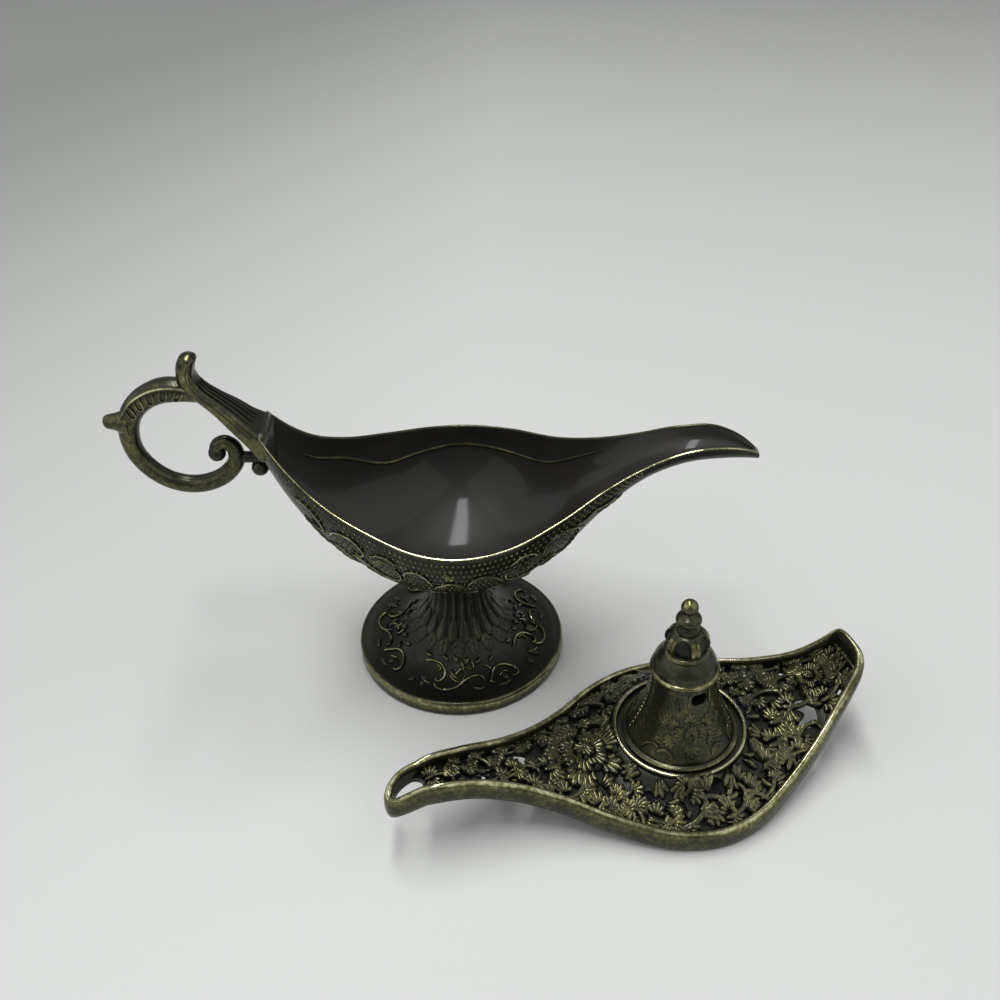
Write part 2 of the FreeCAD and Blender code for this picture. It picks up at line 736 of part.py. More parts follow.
def pane_cutters():
    """The recessed arched panes round the lantern."""
    width, height = mm("pane_width"), mm("pane_height")
    sill = mm("floor_height") + mm("bell_height") + mm("dome_height") + mm("gallery_height") * 1.5
    inner = mm("lantern_radius") - mm("pane_depth")
    panes = []
    for k in range(PANE_COUNT):
        box = Part.makeBox(mm("lantern_radius"), width, height - width / 2, Vector(inner, -width / 2, sill))
        arch = Part.makeCylinder(width / 2, mm("lantern_radius"),
                                 Vector(inner, 0, sill + height - width / 2), Vector(1, 0, 0))
        pane = box.fuse(arch)
        pane.rotate(Vector(0, 0, 0), Vector(0, 0, 1), mm("window_angle") + (k + 0.5) * 360 / PANE_COUNT)
        panes.append(pane)
    return feature("pane_cutters", Part.makeCompound(panes))


def make_nut():
    """The hexagon nut on the finial's stud, under the lid's floor."""
    top = size("floor_height") - size("floor_thickness") - size("lid_washer_thickness")
    body = doc.addObject("PartDesign::Body", "turret_nut")
    sketch = new_sketch(body, "XY_Plane", "nut_outline")
    corner = size("nut_width") * (1 / math.sqrt(3))
    half = size("nut_width") * 0.5
    outline(sketch, [(corner, ZERO), (corner * 0.5, half), (-corner * 0.5, half), (-corner, ZERO),
                     (-corner * 0.5, -half), (corner * 0.5, -half)])
    sketch.AttachmentOffset = Placement(Vector(0, 0, top.value - mm("nut_thickness")), Rotation())
    sketch.setExpression("AttachmentOffset.Base.z", (top - size("nut_thickness")).text)
    pad = body.newObject("PartDesign::Pad", "nut_pad")
    pad.Profile = sketch
    pad.setExpression("Length", size("nut_thickness").text)
    doc.recompute()
    hole_sketch = new_sketch(body, "XZ_Plane", "nut_hole_outline")
    low = top - size("nut_thickness") - size("overrun")
    hole = size("stud_radius") + size("fit_clearance") * 0.2
    outline(hole_sketch, [(ZERO, low), (hole, low), (hole, top + size("overrun")),
                          (ZERO, top + size("overrun"))])
    groove = body.newObject("PartDesign::Groove", "nut_hole")
    groove.Profile = hole_sketch
    groove.ReferenceAxis = (hole_sketch, ["V_Axis"])
    groove.Angle = 360
    doc.recompute()
    return body


def lid_place(lid_shape):
    """Where the lid lies: turned about on the table beside the lamp, rocked a little on its belly."""
    turn = Rotation(Vector(0, 0, 1), mm("lid_turn")) * Rotation(Vector(0, 1, 0), mm("lid_pitch"))
    turned = lid_shape.copy()
    turned.Placement = Placement(Vector(0, 0, 0), turn)
    lowest = turned.optimalBoundingBox(False).ZMin
    return Placement(Vector(mm("lid_x"), -mm("lid_y"), -lowest), turn)


def make_lid_assembly():
    """The lid with its turret, finial, washer and nut, all in the place where the lid lies."""
    lid = make_lid(Placement())
    place = lid_place(lid.Shape)
    lid.Placement = place
    under = size("floor_height") - size("floor_thickness")
    hole = size("stud_radius") + size("fit_clearance")
    washer = ring_body("turret_washer", hole, size("lid_washer_radius"),
                       under - size("lid_washer_thickness"), under)
    turret = cut("turret", turned_body("turret_blank", bell_corners()), window_cutter())
    finial = cut("turret_finial", turned_body("finial_blank", finial_corners()), pane_cutters())
    nut = make_nut()
    middle = Placement(Vector(mm("collar_reach"), 0, 0), Rotation())
    for piece in (washer, turret, finial, nut):
        piece.Placement = place * middle
    return [lid, washer, turret, finial, nut]


bowl = make_bowl()
pieces = [bowl, make_handle(bowl), make_foot()] + make_foot_fasteners() + make_lid_assembly()
doc.recompute()

for made in doc.Objects:
    if "Invalid" in made.State or "Error" in made.State:
        raise RuntimeError(f"{made.Label} did not build: {made.State}")
for piece in pieces:
    if piece.Shape.isNull() or not piece.Shape.isValid() or not piece.Shape.Solids:
        raise RuntimeError(f"{piece.Label} is not a valid solid")

os.makedirs("parts", exist_ok=True)
for piece in pieces:
    piece.Shape.exportStep(f"parts/{piece.Label}.step")
    box = piece.Shape.BoundBox
    print(f"{piece.Label}: {len(piece.Shape.Solids)} solid, {piece.Shape.Volume:.1f} mm3, "
          f"x {box.XMin:.2f} to {box.XMax:.2f}, y {box.YMin:.2f} to {box.YMax:.2f}, "
          f"z {box.ZMin:.2f} to {box.ZMax:.2f}")
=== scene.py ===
import bmesh
import bpy
import math
import numpy as np
from mathutils import Matrix, Vector


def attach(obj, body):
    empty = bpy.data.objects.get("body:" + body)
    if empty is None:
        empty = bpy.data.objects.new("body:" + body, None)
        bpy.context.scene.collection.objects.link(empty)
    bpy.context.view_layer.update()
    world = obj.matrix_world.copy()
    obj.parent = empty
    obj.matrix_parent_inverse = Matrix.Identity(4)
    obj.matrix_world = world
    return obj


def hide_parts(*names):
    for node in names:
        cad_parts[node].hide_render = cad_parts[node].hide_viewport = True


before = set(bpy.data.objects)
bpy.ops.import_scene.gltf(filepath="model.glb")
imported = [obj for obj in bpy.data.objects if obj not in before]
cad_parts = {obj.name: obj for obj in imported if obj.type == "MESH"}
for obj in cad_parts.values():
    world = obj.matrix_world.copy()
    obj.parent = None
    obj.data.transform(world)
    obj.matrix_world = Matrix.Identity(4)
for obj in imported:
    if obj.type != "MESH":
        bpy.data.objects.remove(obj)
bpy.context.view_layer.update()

# Bowl and spout of the lamp, one casting in brass, blackened by oxidising and rubbed back on the rim
# and the relief. The inside is left smooth and dark, and the outside carries beads and scrolls.
# Lengths are in millimetres up to the moment that a mesh is made.
BOWL_LENGTH, HEEL_REACH, BOWL_HALF_WIDTH, RIM_RISE, BOWL_DEPTH = 82.5, 31.3, 19.39, 13.3, 16.4
LOWEST_RIM = 36.3
BOWL_WALL, TIP_WALL, RIM_THINNING, RIM_ROUND = 1.1, 1.2, 0.42, 0.22
RIM_WORN = np.array([0.5, 0.8, 1.0, 0.8, 0.4, 0.2, 0.15])
STATIONS = (0, 0.034, 0.076, 0.137, 0.222, 0.319, 0.404, 0.5, 0.598, 0.682, 0.755, 0.84, 0.925, 0.979, 1)
WIDTHS = (0.218, 0.3, 0.397, 0.557, 0.768, 0.958, 1, 0.892, 0.634, 0.418, 0.294, 0.224, 0.178, 0.09, 0.038)
RISES = (1, 0.714, 0.459, 0.248, 0.105, 0.015, 0, 0.038, 0.158, 0.368, 0.556, 0.737, 0.774, 0.647, 0.549)
DEPTHS = (0.451, 0.573, 0.7, 0.854, 0.963, 1, 0.994, 0.927, 0.756, 0.47, 0.28, 0.22, 0.2, 0.122, 0.061)


def through(x, xs, ys):
    """A smooth line through the points (xs, ys), read at x: between two points it is the cubic whose
    slope at each is the mean of the slopes to its two neighbours, in which the nearer counts for more."""
    x, xs, ys = np.asarray(x, float), np.asarray(xs, float), np.asarray(ys, float)
    slopes = np.gradient(ys, xs)
    i = np.clip(np.searchsorted(xs, x, side="right") - 1, 0, len(xs) - 2)
    step = xs[i + 1] - xs[i]
    t = np.clip((x - xs[i]) / step, 0, 1)
    start = (1 + 2 * t) * (1 - t) ** 2 * ys[i] + t * (1 - t) ** 2 * step * slopes[i]
    end = t * t * (3 - 2 * t) * ys[i + 1] + t * t * (t - 1) * step * slopes[i + 1]
    return start + end


def rim_at(x, inset=0.0):
    """Half width, rise and depth of the bowl at x: the shares at its stations, read smoothly, times the
    greatest size of each. Width and depth are less by the inset, and never under 0.35 of it."""
    along = (np.asarray(x, float) + HEEL_REACH) / BOWL_LENGTH
    least = 0.35 * inset
    half_width = np.maximum(through(along, STATIONS, WIDTHS) * BOWL_HALF_WIDTH - inset, least)
    depth = np.maximum(through(along, STATIONS, DEPTHS) * BOWL_DEPTH - inset, least)
    return half_width, through(along, STATIONS, RISES) * RIM_RISE, depth


def hull_at(x, share, side, inset=0.0):
    """A point on the bowl, or as deep in its wall as the inset, from the rim (share 0) to the keel
    (share 1): a quarter of an ellipse as wide as the half width and as deep as the keel."""
    half_width, rise, depth = rim_at(x, inset)
    angle = np.asarray(share) * math.pi / 2
    return np.stack([x + 0 * angle, side * half_width * np.cos(angle),
                     LOWEST_RIM + rise - depth * np.sin(angle)], -1)


def linear(code):
    """A hex sRGB colour as linear red, green, blue and an alpha of one."""
    c = np.array([int(code[i:i + 2], 16) for i in (1, 3, 5)]) / 255
    return (*np.where(c <= 0.04045, c / 12.92, ((c + 0.055) / 1.055) ** 2.4), 1.0)


def feed(tree, node, inputs):
    """Gives a node's inputs numbers, colours or another node's output."""
    for name, value in inputs.items():
        if isinstance(value, bpy.types.NodeSocket):
            tree.links.new(value, node.inputs[name])
        else:
            node.inputs[name].default_value = value


def add(tree, kind, settings, inputs):
    """Adds a node with its settings and its inputs."""
    node = tree.nodes.new(kind)
    for name, value in settings.items():
        setattr(node, name, value)
    feed(tree, node, inputs)
    return node


def new_material(name):
    """An empty material, its node tree, its shader, and the place of each point on the piece."""
    material = bpy.data.materials.new(name)
    material.use_nodes = True
    tree = material.node_tree
    place = add(tree, "ShaderNodeTexCoord", {}, {}).outputs["Object"]
    return material, tree, tree.nodes["Principled BSDF"], place


# Cast brass, blackened and rubbed back: near-black olive in the hollows, and dull yellow and smoother where
# hands and a cloth have worn it. The wear follows how far each point stands out, broken up by patches of 3 mm
# and scuffs of 0.7 mm. The grain of the casting is 0.25 mm. The palest stop, a whitish yellow, is partly a
# painted highlight on the rims and crests. The same value also carries the painted shade of the lid's ground
# and the painted reflection inside the bowl.
antique_brass, tree, shader, place = new_material("blackened_cast_brass")
worn_and_painted_light = add(tree, "ShaderNodeAttribute", {"attribute_name": "wear_and_painted_light"}, {}).outputs["Fac"]
patches, scuffs, grain = [
    add(tree, "ShaderNodeTexNoise", {}, {"Vector": place, "Scale": scale, "Detail": detail}).outputs["Fac"]
    for scale, detail in ((330.0, 4.0), (1500.0, 3.0), (4000.0, 2.0))]
both = add(tree, "ShaderNodeMath", {"operation": "ADD"}, {0: patches, 1: scuffs}).outputs[0]
blotches = add(tree, "ShaderNodeMath", {"operation": "MULTIPLY_ADD"}, {0: both, 1: 0.6, 2: -0.6})
worn_and_painted_light = add(tree, "ShaderNodeMath", {"operation": "ADD"}, {0: worn_and_painted_light, 1: blotches.outputs[0]}).outputs[0]
ramp = add(tree, "ShaderNodeValToRGB", {}, {"Fac": worn_and_painted_light})
stops = ramp.color_ramp.elements
stops[0].position, stops[0].color = 0.08, linear("#262822")
stops[1].position, stops[1].color = 0.42, linear("#3e3e32")
# The last stop, #bab896, is partly a painted highlight on the most rubbed rims and crests.
for position, code in ((0.7, "#6b6844"), (0.97, "#bab896")):
    stops.new(position).color = linear(code)
metal = add(tree, "ShaderNodeMapRange", {}, {"Value": worn_and_painted_light, "To Min": 0.75, "To Max": 1.0})
rough = add(tree, "ShaderNodeMapRange", {}, {"Value": worn_and_painted_light, "From Max": 0.8, "To Min": 0.38, "To Max": 0.16})
bumps = add(tree, "ShaderNodeBump", {}, {"Strength": 0.25, "Distance": 0.00006, "Height": grain})
feed(tree, shader, {"Base Color": ramp.outputs["Color"], "Metallic": metal.outputs["Result"],
                    "Roughness": rough.outputs["Result"], "Normal": bumps.outputs["Normal"]})

# The same brass inside the bowl, where no cloth has been: a smooth brown-black oxide under a thin
# gloss, with faint clouds 6 mm across from the dip.
dark_inside, tree, shader, place = new_material("blackened_smooth_brass")
clouds = add(tree, "ShaderNodeTexNoise", {}, {"Vector": place, "Scale": 160.0, "Detail": 5.0}).outputs["Fac"]
colour = add(tree, "ShaderNodeMix", {"data_type": "RGBA"},
             {"Factor": clouds, "A": linear("#0d0f10"), "B": linear("#242019")}).outputs["Result"]
rough = add(tree, "ShaderNodeMapRange", {}, {"Value": clouds, "To Min": 0.42, "To Max": 0.54})
feed(tree, shader, {"Base Color": colour, "Roughness": rough.outputs["Result"], "Specular IOR Level": 0.26,
                    "Coat Weight": 0.24, "Coat Roughness": 0.1})


def grid_faces(rows, columns, ring_rows):
    """The corners of each face of a grid, four neighbours at a time. The last column is joined to the
    first, and where the rows are a ring, the last row is too."""
    i = np.arange(rows if ring_rows else rows - 1)
    i, j = [k.ravel() for k in np.meshgrid(i, np.arange(columns), indexing="ij")]
    below, beside = (i + 1) % rows, (j + 1) % columns
    return np.stack([i * columns + j, i * columns + beside, below * columns + beside, below * columns + j], 1)


def put(name, data):
    """A new object of the scene, at the origin."""
    thing = bpy.data.objects.new(name, data)
    bpy.context.scene.collection.objects.link(thing)
    return thing


def make_piece(name, body, parts, ring_rows=False, inside=None, faces=None):
    """A piece of the blackened brass from one or more grids of points, with a value for each point that is
    how far it is rubbed. On some pieces that value is also painted light: its palest values read as a painted
    highlight, and it carries painted shade and a painted reflection. Points that meet at a pole are merged
    and the faces turned outwards. A face whose corners are all marked as inside gets the smooth oxide."""
    points, wear_and_painted_light, corners, start = [], [], [], 0
    for grid, worn_and_painted_light in parts:
        rows, columns = grid.shape[:2]
        points.append(grid.reshape(-1, 3))
        wear_and_painted_light.append(np.broadcast_to(worn_and_painted_light, (rows, columns)).reshape(-1))
        corners.append(start + (grid_faces(rows, columns, ring_rows) if faces is None else faces))
        start += rows * columns
    points, wear_and_painted_light, corners = np.concatenate(points), np.concatenate(wear_and_painted_light), np.concatenate(corners)
    mesh = bpy.data.meshes.new(name)
    mesh.from_pydata((points * 0.001).tolist(), [], corners.tolist())
    mesh.attributes.new("wear_and_painted_light", "FLOAT", "POINT").data.foreach_set("value", wear_and_painted_light.astype(np.float32))
    if inside is not None:
        mesh.polygons.foreach_set("material_index", inside[corners].all(1).astype(np.int32))
    work = bmesh.new()
    work.from_mesh(mesh)
    bmesh.ops.remove_doubles(work, verts=work.verts, dist=2e-7)
    bmesh.ops.recalc_face_normals(work, faces=work.faces)
    work.to_mesh(mesh)
    work.free()
    mesh.polygons.foreach_set("use_smooth", np.ones(len(mesh.polygons), bool))
    mesh.set_sharp_from_angle(angle=math.radians(48))
    mesh.materials.append(antique_brass)
    if inside is not None:
        mesh.materials.append(dark_inside)
    piece = put(name, mesh)
    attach(piece, body)
    return piece


# The wall is a ring carried along the bowl: down the outside, over the rounded rim, and back inside.
along = (1 - np.cos(np.linspace(0, math.pi, 200))) / 2
along = 0.5 * along + 0.5 * np.linspace(0, 1, 200)
turn = np.linspace(0, math.pi, 57)
over = np.linspace(0, math.pi, 9)[1:-1]
x_out = BOWL_LENGTH * along - HEEL_REACH
x_in = (BOWL_LENGTH - BOWL_WALL - TIP_WALL) * along - HEEL_REACH + BOWL_WALL
w_out, r_out, d_out = rim_at(x_out)
w_in, r_in, d_in = rim_at(x_in, BOWL_WALL)


def rim_bead(side):
    """The rounded top of the rim, from the outer edge to the inner one: half an ellipse as wide as the
    wall is there, and 0.22 of the wall's thickness high."""
    mix = (1 - np.cos(over))[None, :] / 2
    x = x_out[:, None] * (1 - mix) + x_in[:, None] * mix
    y = side * (w_out[:, None] * (1 - mix) + (w_in[:, None] + RIM_THINNING) * mix)
    z = r_out[:, None] * (1 - mix) + r_in[:, None] * mix
    return np.stack([x, y, LOWEST_RIM + z + RIM_ROUND * BOWL_WALL * np.sin(over)[None, :]], -1)


outer = np.stack(np.broadcast_arrays(x_out[:, None], w_out[:, None] * np.cos(turn),
                                     LOWEST_RIM + r_out[:, None] - d_out[:, None] * np.sin(turn)), -1)
thin = RIM_THINNING * (1 - np.clip(np.sin(turn) / 0.5, 0, 1)) ** 2
inner = np.stack(np.broadcast_arrays(x_in[:, None], (w_in[:, None] + thin) * np.cos(turn[::-1]),
                                     LOWEST_RIM + r_in[:, None] - d_in[:, None] * np.sin(turn)), -1)
ring = np.concatenate([outer, rim_bead(-1), inner, rim_bead(1)[:, ::-1]], 1)
# Each ring has four stretches, and at both ends of the bowl it shrinks to a line through the wall.
edges = np.cumsum([0, len(turn), len(over), len(turn), len(over)])
outside, first_rim, lining, second_rim = [slice(*pair) for pair in zip(edges[:-1], edges[1:])]
mix = (1 - np.cos(over))[:, None] / 2
ends = []
for row in (0, -1):
    cap_out, cap_in = outer[row, [0, -1]].mean(0), inner[row, [0, -1]].mean(0)
    over_rim = cap_out * (1 - mix) + cap_in * mix
    cap = np.empty_like(ring[row])
    cap[outside], cap[lining] = cap_out, cap_in
    cap[first_rim], cap[second_rim] = over_rim, over_rim[::-1]
    ends.append(cap[None])
ring = np.concatenate([ends[0], ring, ends[1]])
# The rim is rubbed brightest, then the outer edges under it and the heel, where the hand comes.
wear_and_painted_light = np.zeros(ring.shape[:2])
wear_and_painted_light[1:-1, outside] = 0.05 + 0.45 * np.exp(-((x_out + HEEL_REACH) / 3.5) ** 2)[:, None]
wear_and_painted_light[:, [0, len(turn) - 1]] = 0.35
wear_and_painted_light[:, first_rim], wear_and_painted_light[:, second_rim] = RIM_WORN, RIM_WORN[::-1]
wear_and_painted_light[:, lining] = 0.1
is_inside = np.zeros(ring.shape[:2], bool)
is_inside[:, lining] = True
bowl = make_piece("bowl_casting", "lamp", [(ring, wear_and_painted_light)], inside=is_inside.ravel())
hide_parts("bowl")


def run_along(points):
    """How far along a line each of its points is, from the first."""
    return np.concatenate([[0], np.cumsum(np.linalg.norm(np.diff(points, axis=0), axis=1))])


def unit(v):
    """Directions, each made one long."""
    return v / np.linalg.norm(v, axis=-1)[..., None]


def stroke(surface, way_out, line, width, height, kind="scroll", sink=0.25, fine=1.0, lift=0.0,
           bright=1.0, least=0.0):
    """A raised stroke along a smooth line drawn on a surface. Its sections lie closer at its ends, on
    average under 0.45 mm apart times fine, and are flat capsules: across, the cosine of an angle times
    half the width, and outwards, the sine to the power 0.7 times the height, or below the surface the
    sine times the sink. A scroll tapers to its ends, a lobe is smooth and widest past its middle, and a
    leaf is widest at two fifths, with a groove along its middle and side veins. The wear is the least
    where it meets the surface, and bright more on the ridge."""
    line = np.array(line, float).reshape(-1, 2)
    at = surface(line[:, 0], line[:, 1])
    run = run_along(at)
    rows = int(run[-1] / (0.45 * fine)) + (12 if kind == "leaf" else 8)
    share = (1 - np.cos(np.linspace(0, math.pi, rows))) / 2
    u, v = [through(share * run[-1], run, line[:, k]) for k in (0, 1)]
    middle, step = surface(u, v), 1e-3
    outwards = unit(np.cross(surface(u + step, v) - middle, surface(u, v + step) - middle) * way_out)
    ahead = np.gradient(middle, axis=0)
    ahead /= np.linalg.norm(ahead, axis=1)[:, None] + 1e-12
    across = np.cross(outwards, ahead)
    if kind == "scroll":
        turn = np.linspace(0, 2 * math.pi, 9)[:-1]
    else:
        turn = np.append(np.arccos(np.linspace(1, -1, 15 if kind == "leaf" else 9)), 1.5 * math.pi)
    side, up = np.cos(turn)[None, :], np.sin(turn)[None, :]
    if kind == "scroll":
        wide = np.minimum(1, (share * (1 - share) * 9) ** 0.5) * (1 - 0.3 * share)
        ridges = 1.0
    elif kind == "lobe":
        wide = np.sin(math.pi * share ** 1.35) ** 0.62
        ridges = 1.0
    else:
        wide = np.sin(math.pi * share ** 0.75) ** 0.8 * (1 + 0.1 * np.cos(share * 8 * math.pi))
        veins = np.cos(2 * math.pi * (4 * share[:, None] - 0.9 * np.abs(side)))
        ridges = np.where(up > 0, 0.72 + 0.28 * veins - 0.35 * np.exp(-(side / 0.2) ** 2), 1)
    wide = wide[:, None]
    tall = np.where(up > 0, np.abs(up) ** 0.7 * height * ridges, up * sink) * np.minimum(1, wide * 1.6)
    grid = (middle[:, None] + across[:, None] * (side * wide * width / 2)[..., None]
            + outwards[:, None] * (tall + lift)[..., None])
    narrowing = {"scroll": 2.2, "lobe": 3.0, "leaf": 0.8}[kind]
    worn_and_painted_light = np.where(up > 0, np.abs(up) ** narrowing * ridges, 0) * np.minimum(1, wide * 1.5)
    return grid, least + worn_and_painted_light * bright


# Scrolls on the bowl's two sides, cast with it and rubbed bright: the width of each, its kind, and its
# line as places along the bowl and shares of the way from the rim to the keel. They stand 0.34 mm out
# and no further than RELIEF_REACH from the middle plane.
SCROLL_HEIGHT, RELIEF_REACH = 0.34, 19.4
BOWL_SCROLLS = (
    (0.62, "scroll", (-20.5, 0.3, -19.6, 0.19, -17.6, 0.13, -15.6, 0.14, -14.4, 0.21, -15.2, 0.27,
                      -16.4, 0.25)),
    (0.58, "scroll", (-17, 0.33, -15.5, 0.3, -14, 0.34, -11, 0.41, -8.8, 0.36, -8.2, 0.26, -9, 0.21,
                      -9.9, 0.25)),
    (0.62, "scroll", (-7.6, 0.27, -7.2, 0.18, -5.4, 0.15, -3.7, 0.2, -2.9, 0.29, -3.4, 0.39, -5, 0.47,
                      -7, 0.5)),
    (0.62, "scroll", (2.6, 0.33, 3.2, 0.22, 5, 0.17, 7, 0.2, 8.2, 0.29, 7.6, 0.38, 6.2, 0.4)),
    (0.58, "scroll", (8.8, 0.2, 9, 0.3, 10.5, 0.38, 12.5, 0.4, 14.5, 0.35, 16, 0.33, 17, 0.38, 16.4, 0.43)),
    (0.62, "scroll", (14.8, 0.25, 15.3, 0.15, 17.5, 0.11, 19.7, 0.15, 21, 0.25, 20.5, 0.35, 19.2, 0.37)),
    (0.5, "scroll", (20.5, 0.16, 22.2, 0.21, 24, 0.2, 25.5, 0.26, 27.5, 0.28)),
    (0.58, "scroll", (-26, 0.2, -24, 0.16, -22.2, 0.19, -21.4, 0.28, -22.4, 0.33, -23.6, 0.3)),
    (0.45, "scroll", (-3, 0.4, -2.2, 0.28, 0, 0.22, 2.4, 0.26, 3.4, 0.38)),
    (0.45, "scroll", (-13.4, 0.2, -12, 0.14, -10, 0.12, -8.6, 0.16)),
    (0.45, "scroll", (9.6, 0.14, 11.4, 0.1, 13.4, 0.13, 14.2, 0.2)),
    (0.58, "scroll", (-2, 0.42, -3.4, 0.5, -4, 0.6, -3.2, 0.7, -1.2, 0.76)),
    (0.58, "scroll", (2, 0.42, 3.4, 0.5, 4, 0.6, 3.2, 0.7, 1.2, 0.76)),
    (0.58, "scroll", (-13, 0.48, -11, 0.56, -8.4, 0.55, -6.8, 0.62, -7.6, 0.7, -9, 0.67)),
    (0.58, "scroll", (13, 0.48, 11, 0.56, 8.4, 0.55, 6.8, 0.62, 7.6, 0.7, 9, 0.67)),
    (1.5, "leaf", (-20, 0.36, -17.6, 0.4, -15.6, 0.48)), (1.4, "leaf", (-21, 0.42, -18.6, 0.5, -16.8, 0.6)),
    (1.4, "leaf", (-13, 0.3, -12, 0.22, -10.6, 0.17)), (1.3, "leaf", (-14.6, 0.44, -13, 0.54, -12.4, 0.64)),
    (1.5, "leaf", (18.4, 0.42, 16.2, 0.48, 14.4, 0.56)), (1.4, "leaf", (11.6, 0.3, 12.4, 0.22, 13.6, 0.17)),
    (1.3, "leaf", (20.4, 0.4, 19, 0.5, 17, 0.58)), (1.3, "leaf", (-11, 0.6, -9.6, 0.72, -8, 0.8)),
    (1.3, "leaf", (11, 0.6, 9.6, 0.72, 8, 0.8)), (1.2, "leaf", (-1, 0.1, 0, 0.17, 1, 0.1)),
    (1.3, "leaf", (-0.9, 0.2, -1.3, 0.3, -1.2, 0.4)), (1.3, "leaf", (0.9, 0.2, 1.3, 0.3, 1.2, 0.4)),
    (1.2, "lobe", (0, 0.46, 0, 0.54, 0, 0.64)), (1.0, "lobe", (-0.9, 0.46, -1.5, 0.52, -1.8, 0.6)),
    (1.0, "lobe", (0.9, 0.46, 1.5, 0.52, 1.8, 0.6)), (1.2, "leaf", (24, 0.3, 26, 0.38, 28.6, 0.42)),
    (1.2, "leaf", (-25, 0.4, -22.8, 0.48, -20.6, 0.6)),
)
parts = []
for side in (-1, 1):
    for width, kind, line in BOWL_SCROLLS:
        grid, worn_and_painted_light = stroke(lambda x, f: hull_at(x, f, side), side, line, width, SCROLL_HEIGHT, kind)
        grid[..., 1] = np.clip(grid[..., 1], -RELIEF_REACH, RELIEF_REACH)
        parts.append((grid, worn_and_painted_light))
make_piece("bowl_scrolls", "lamp", parts)

# Inside, about 5 mm under the rim on both walls, a fine raised line made bright is a painted reflection of
# the rim.
RIM_REFLECTION_LINE = (-27, 0.27, -20, 0.18, -13, 0.235, -8, 0.187, -1, 0.137, 6.5, 0.16, 16, 0.24, 21.5, 0.21,
              26, 0.2)
make_piece("bowl_painted_rim_reflection", "lamp", [
    stroke(lambda x, f: hull_at(x, f, side, BOWL_WALL), -side, RIM_REFLECTION_LINE, 0.75, 0.07, bright=0.8)
    for side in (-1, 1)])

# Beads fill the ground between the scrolls and under the rim, cast with the bowl: 0.85 mm apart in
# rows that follow the rim, every other row shifted, each a dome 0.56 mm across and 0.23 mm high.
BEAD_PITCH, BEAD_ROWS, BEAD_SHIFT, BEAD_RADIUS, BEAD_HEIGHT, BEAD_SINK = 0.85, 0.048, 0.42, 0.28, 0.26, 0.03
dome_turn = np.linspace(0, 2 * math.pi, 7)[:-1]
dome_rows = np.array([0.0, 0.55, 1.0]) * math.pi / 2
bead_parts = []
for side in (-1, 1):
    bead_x, bead_share = [k.ravel() for k in np.meshgrid(np.arange(-27, 31, BEAD_PITCH),
                                                         np.arange(0.045, 0.34, BEAD_ROWS))]
    bead_x = bead_x + BEAD_SHIFT * (np.round(bead_share / BEAD_ROWS) % 2)
    centre = hull_at(bead_x, bead_share, side)
    out = unit(np.cross(hull_at(bead_x + 1e-3, bead_share, side) - centre,
                        hull_at(bead_x, bead_share + 1e-3, side) - centre) * side)
    first = unit(np.cross(out, [0, 0, 1.0]))
    second = np.cross(out, first)
    flat = (np.cos(dome_turn)[None, :, None] * first[:, None]
            + np.sin(dome_turn)[None, :, None] * second[:, None])
    reach = BEAD_RADIUS * np.sin(dome_rows)
    height = BEAD_HEIGHT * np.cos(dome_rows) - BEAD_SINK
    domes = (centre[:, None, None] + flat[:, None] * reach[None, :, None, None]
             + out[:, None, None] * height[None, :, None, None])
    keep = (bead_share < 0.15) | (np.abs(bead_x) < 22)
    bead_parts.append(domes[keep])
domes = np.concatenate(bead_parts)
underside = domes[:, 2:3].mean(2, keepdims=True) + 0 * domes[:, :1]
domes = np.concatenate([domes, underside], 1)
domes[..., 1] = np.clip(domes[..., 1], -RELIEF_REACH, RELIEF_REACH)
bead_worn = np.array([0.85, 0.55, 0.12, 0.05])[:, None]
make_piece("bowl_beads", "lamp", [(dome, bead_worn) for dome in domes])

# Foot, turned from a casting and threaded for the screw that holds the bowl: a brim with a rubbed edge,
# a hollow flare, and a stem with twenty flutes.
FLUTES, FLUTE_DEPTH, FOOT_COLUMNS = 20, 0.42, 240


def arc(start, end, radius, steps):
    """Points on an arc from one point to another. Going up, a positive radius bulges away from the axis
    and a negative one is hollow."""
    start, end = np.array(start, float), np.array(end, float)
    chord = end - start
    length = np.linalg.norm(chord)
    left = np.array([-chord[1], chord[0]]) / length
    centre = (start + end) / 2 + left * math.copysign(math.sqrt(radius ** 2 - length ** 2 / 4), radius)
    a, b = start - centre, end - centre
    first = math.atan2(a[1], a[0])
    swing = (math.atan2(b[1], b[0]) - first + math.pi) % (2 * math.pi) - math.pi
    angle = first + swing * np.linspace(0, 1, steps)
    return centre + abs(radius) * np.stack([np.cos(angle), np.sin(angle)], 1)


def lathe(profile, columns, centre=(0.0, 0.0)):
    """A profile of radius and height turned about an upright axis."""
    profile = np.asarray(profile, float)
    angle = np.linspace(0, 2 * math.pi, columns, endpoint=False)
    return np.stack(np.broadcast_arrays(centre[0] + profile[:, :1] * np.cos(angle),
                                        centre[1] + profile[:, :1] * np.sin(angle), profile[:, 1:]), -1)


flare = arc((16.6, 2.9), (7.4, 8.0), -13.4, 26)
stem = arc((7.4, 8.0), (5.0, 15.0), -11.4, 24)
foot_profile = np.concatenate([
    [(16.6, 0.0)], arc((18.5, 0), (19.0, 0.5), 0.5, 5), arc((19.0, 2.2), (18.45, 2.86), 0.75, 7),
    [(17.9, 2.9), (17.2, 2.8)], flare, stem[1:], [(5, 16.2), (5, 17.6), (5, 18.9)],
    [(2.65, 18.9), (2.65, 11), (1.55, 11), (1.55, 8), (4, 8), (9.1, 4.6), (11.62, 2.56), (16.1, 1.2)]])
foot_grid = lathe(foot_profile, FOOT_COLUMNS)
foot_angle = np.linspace(0, 2 * math.pi, FOOT_COLUMNS, endpoint=False)
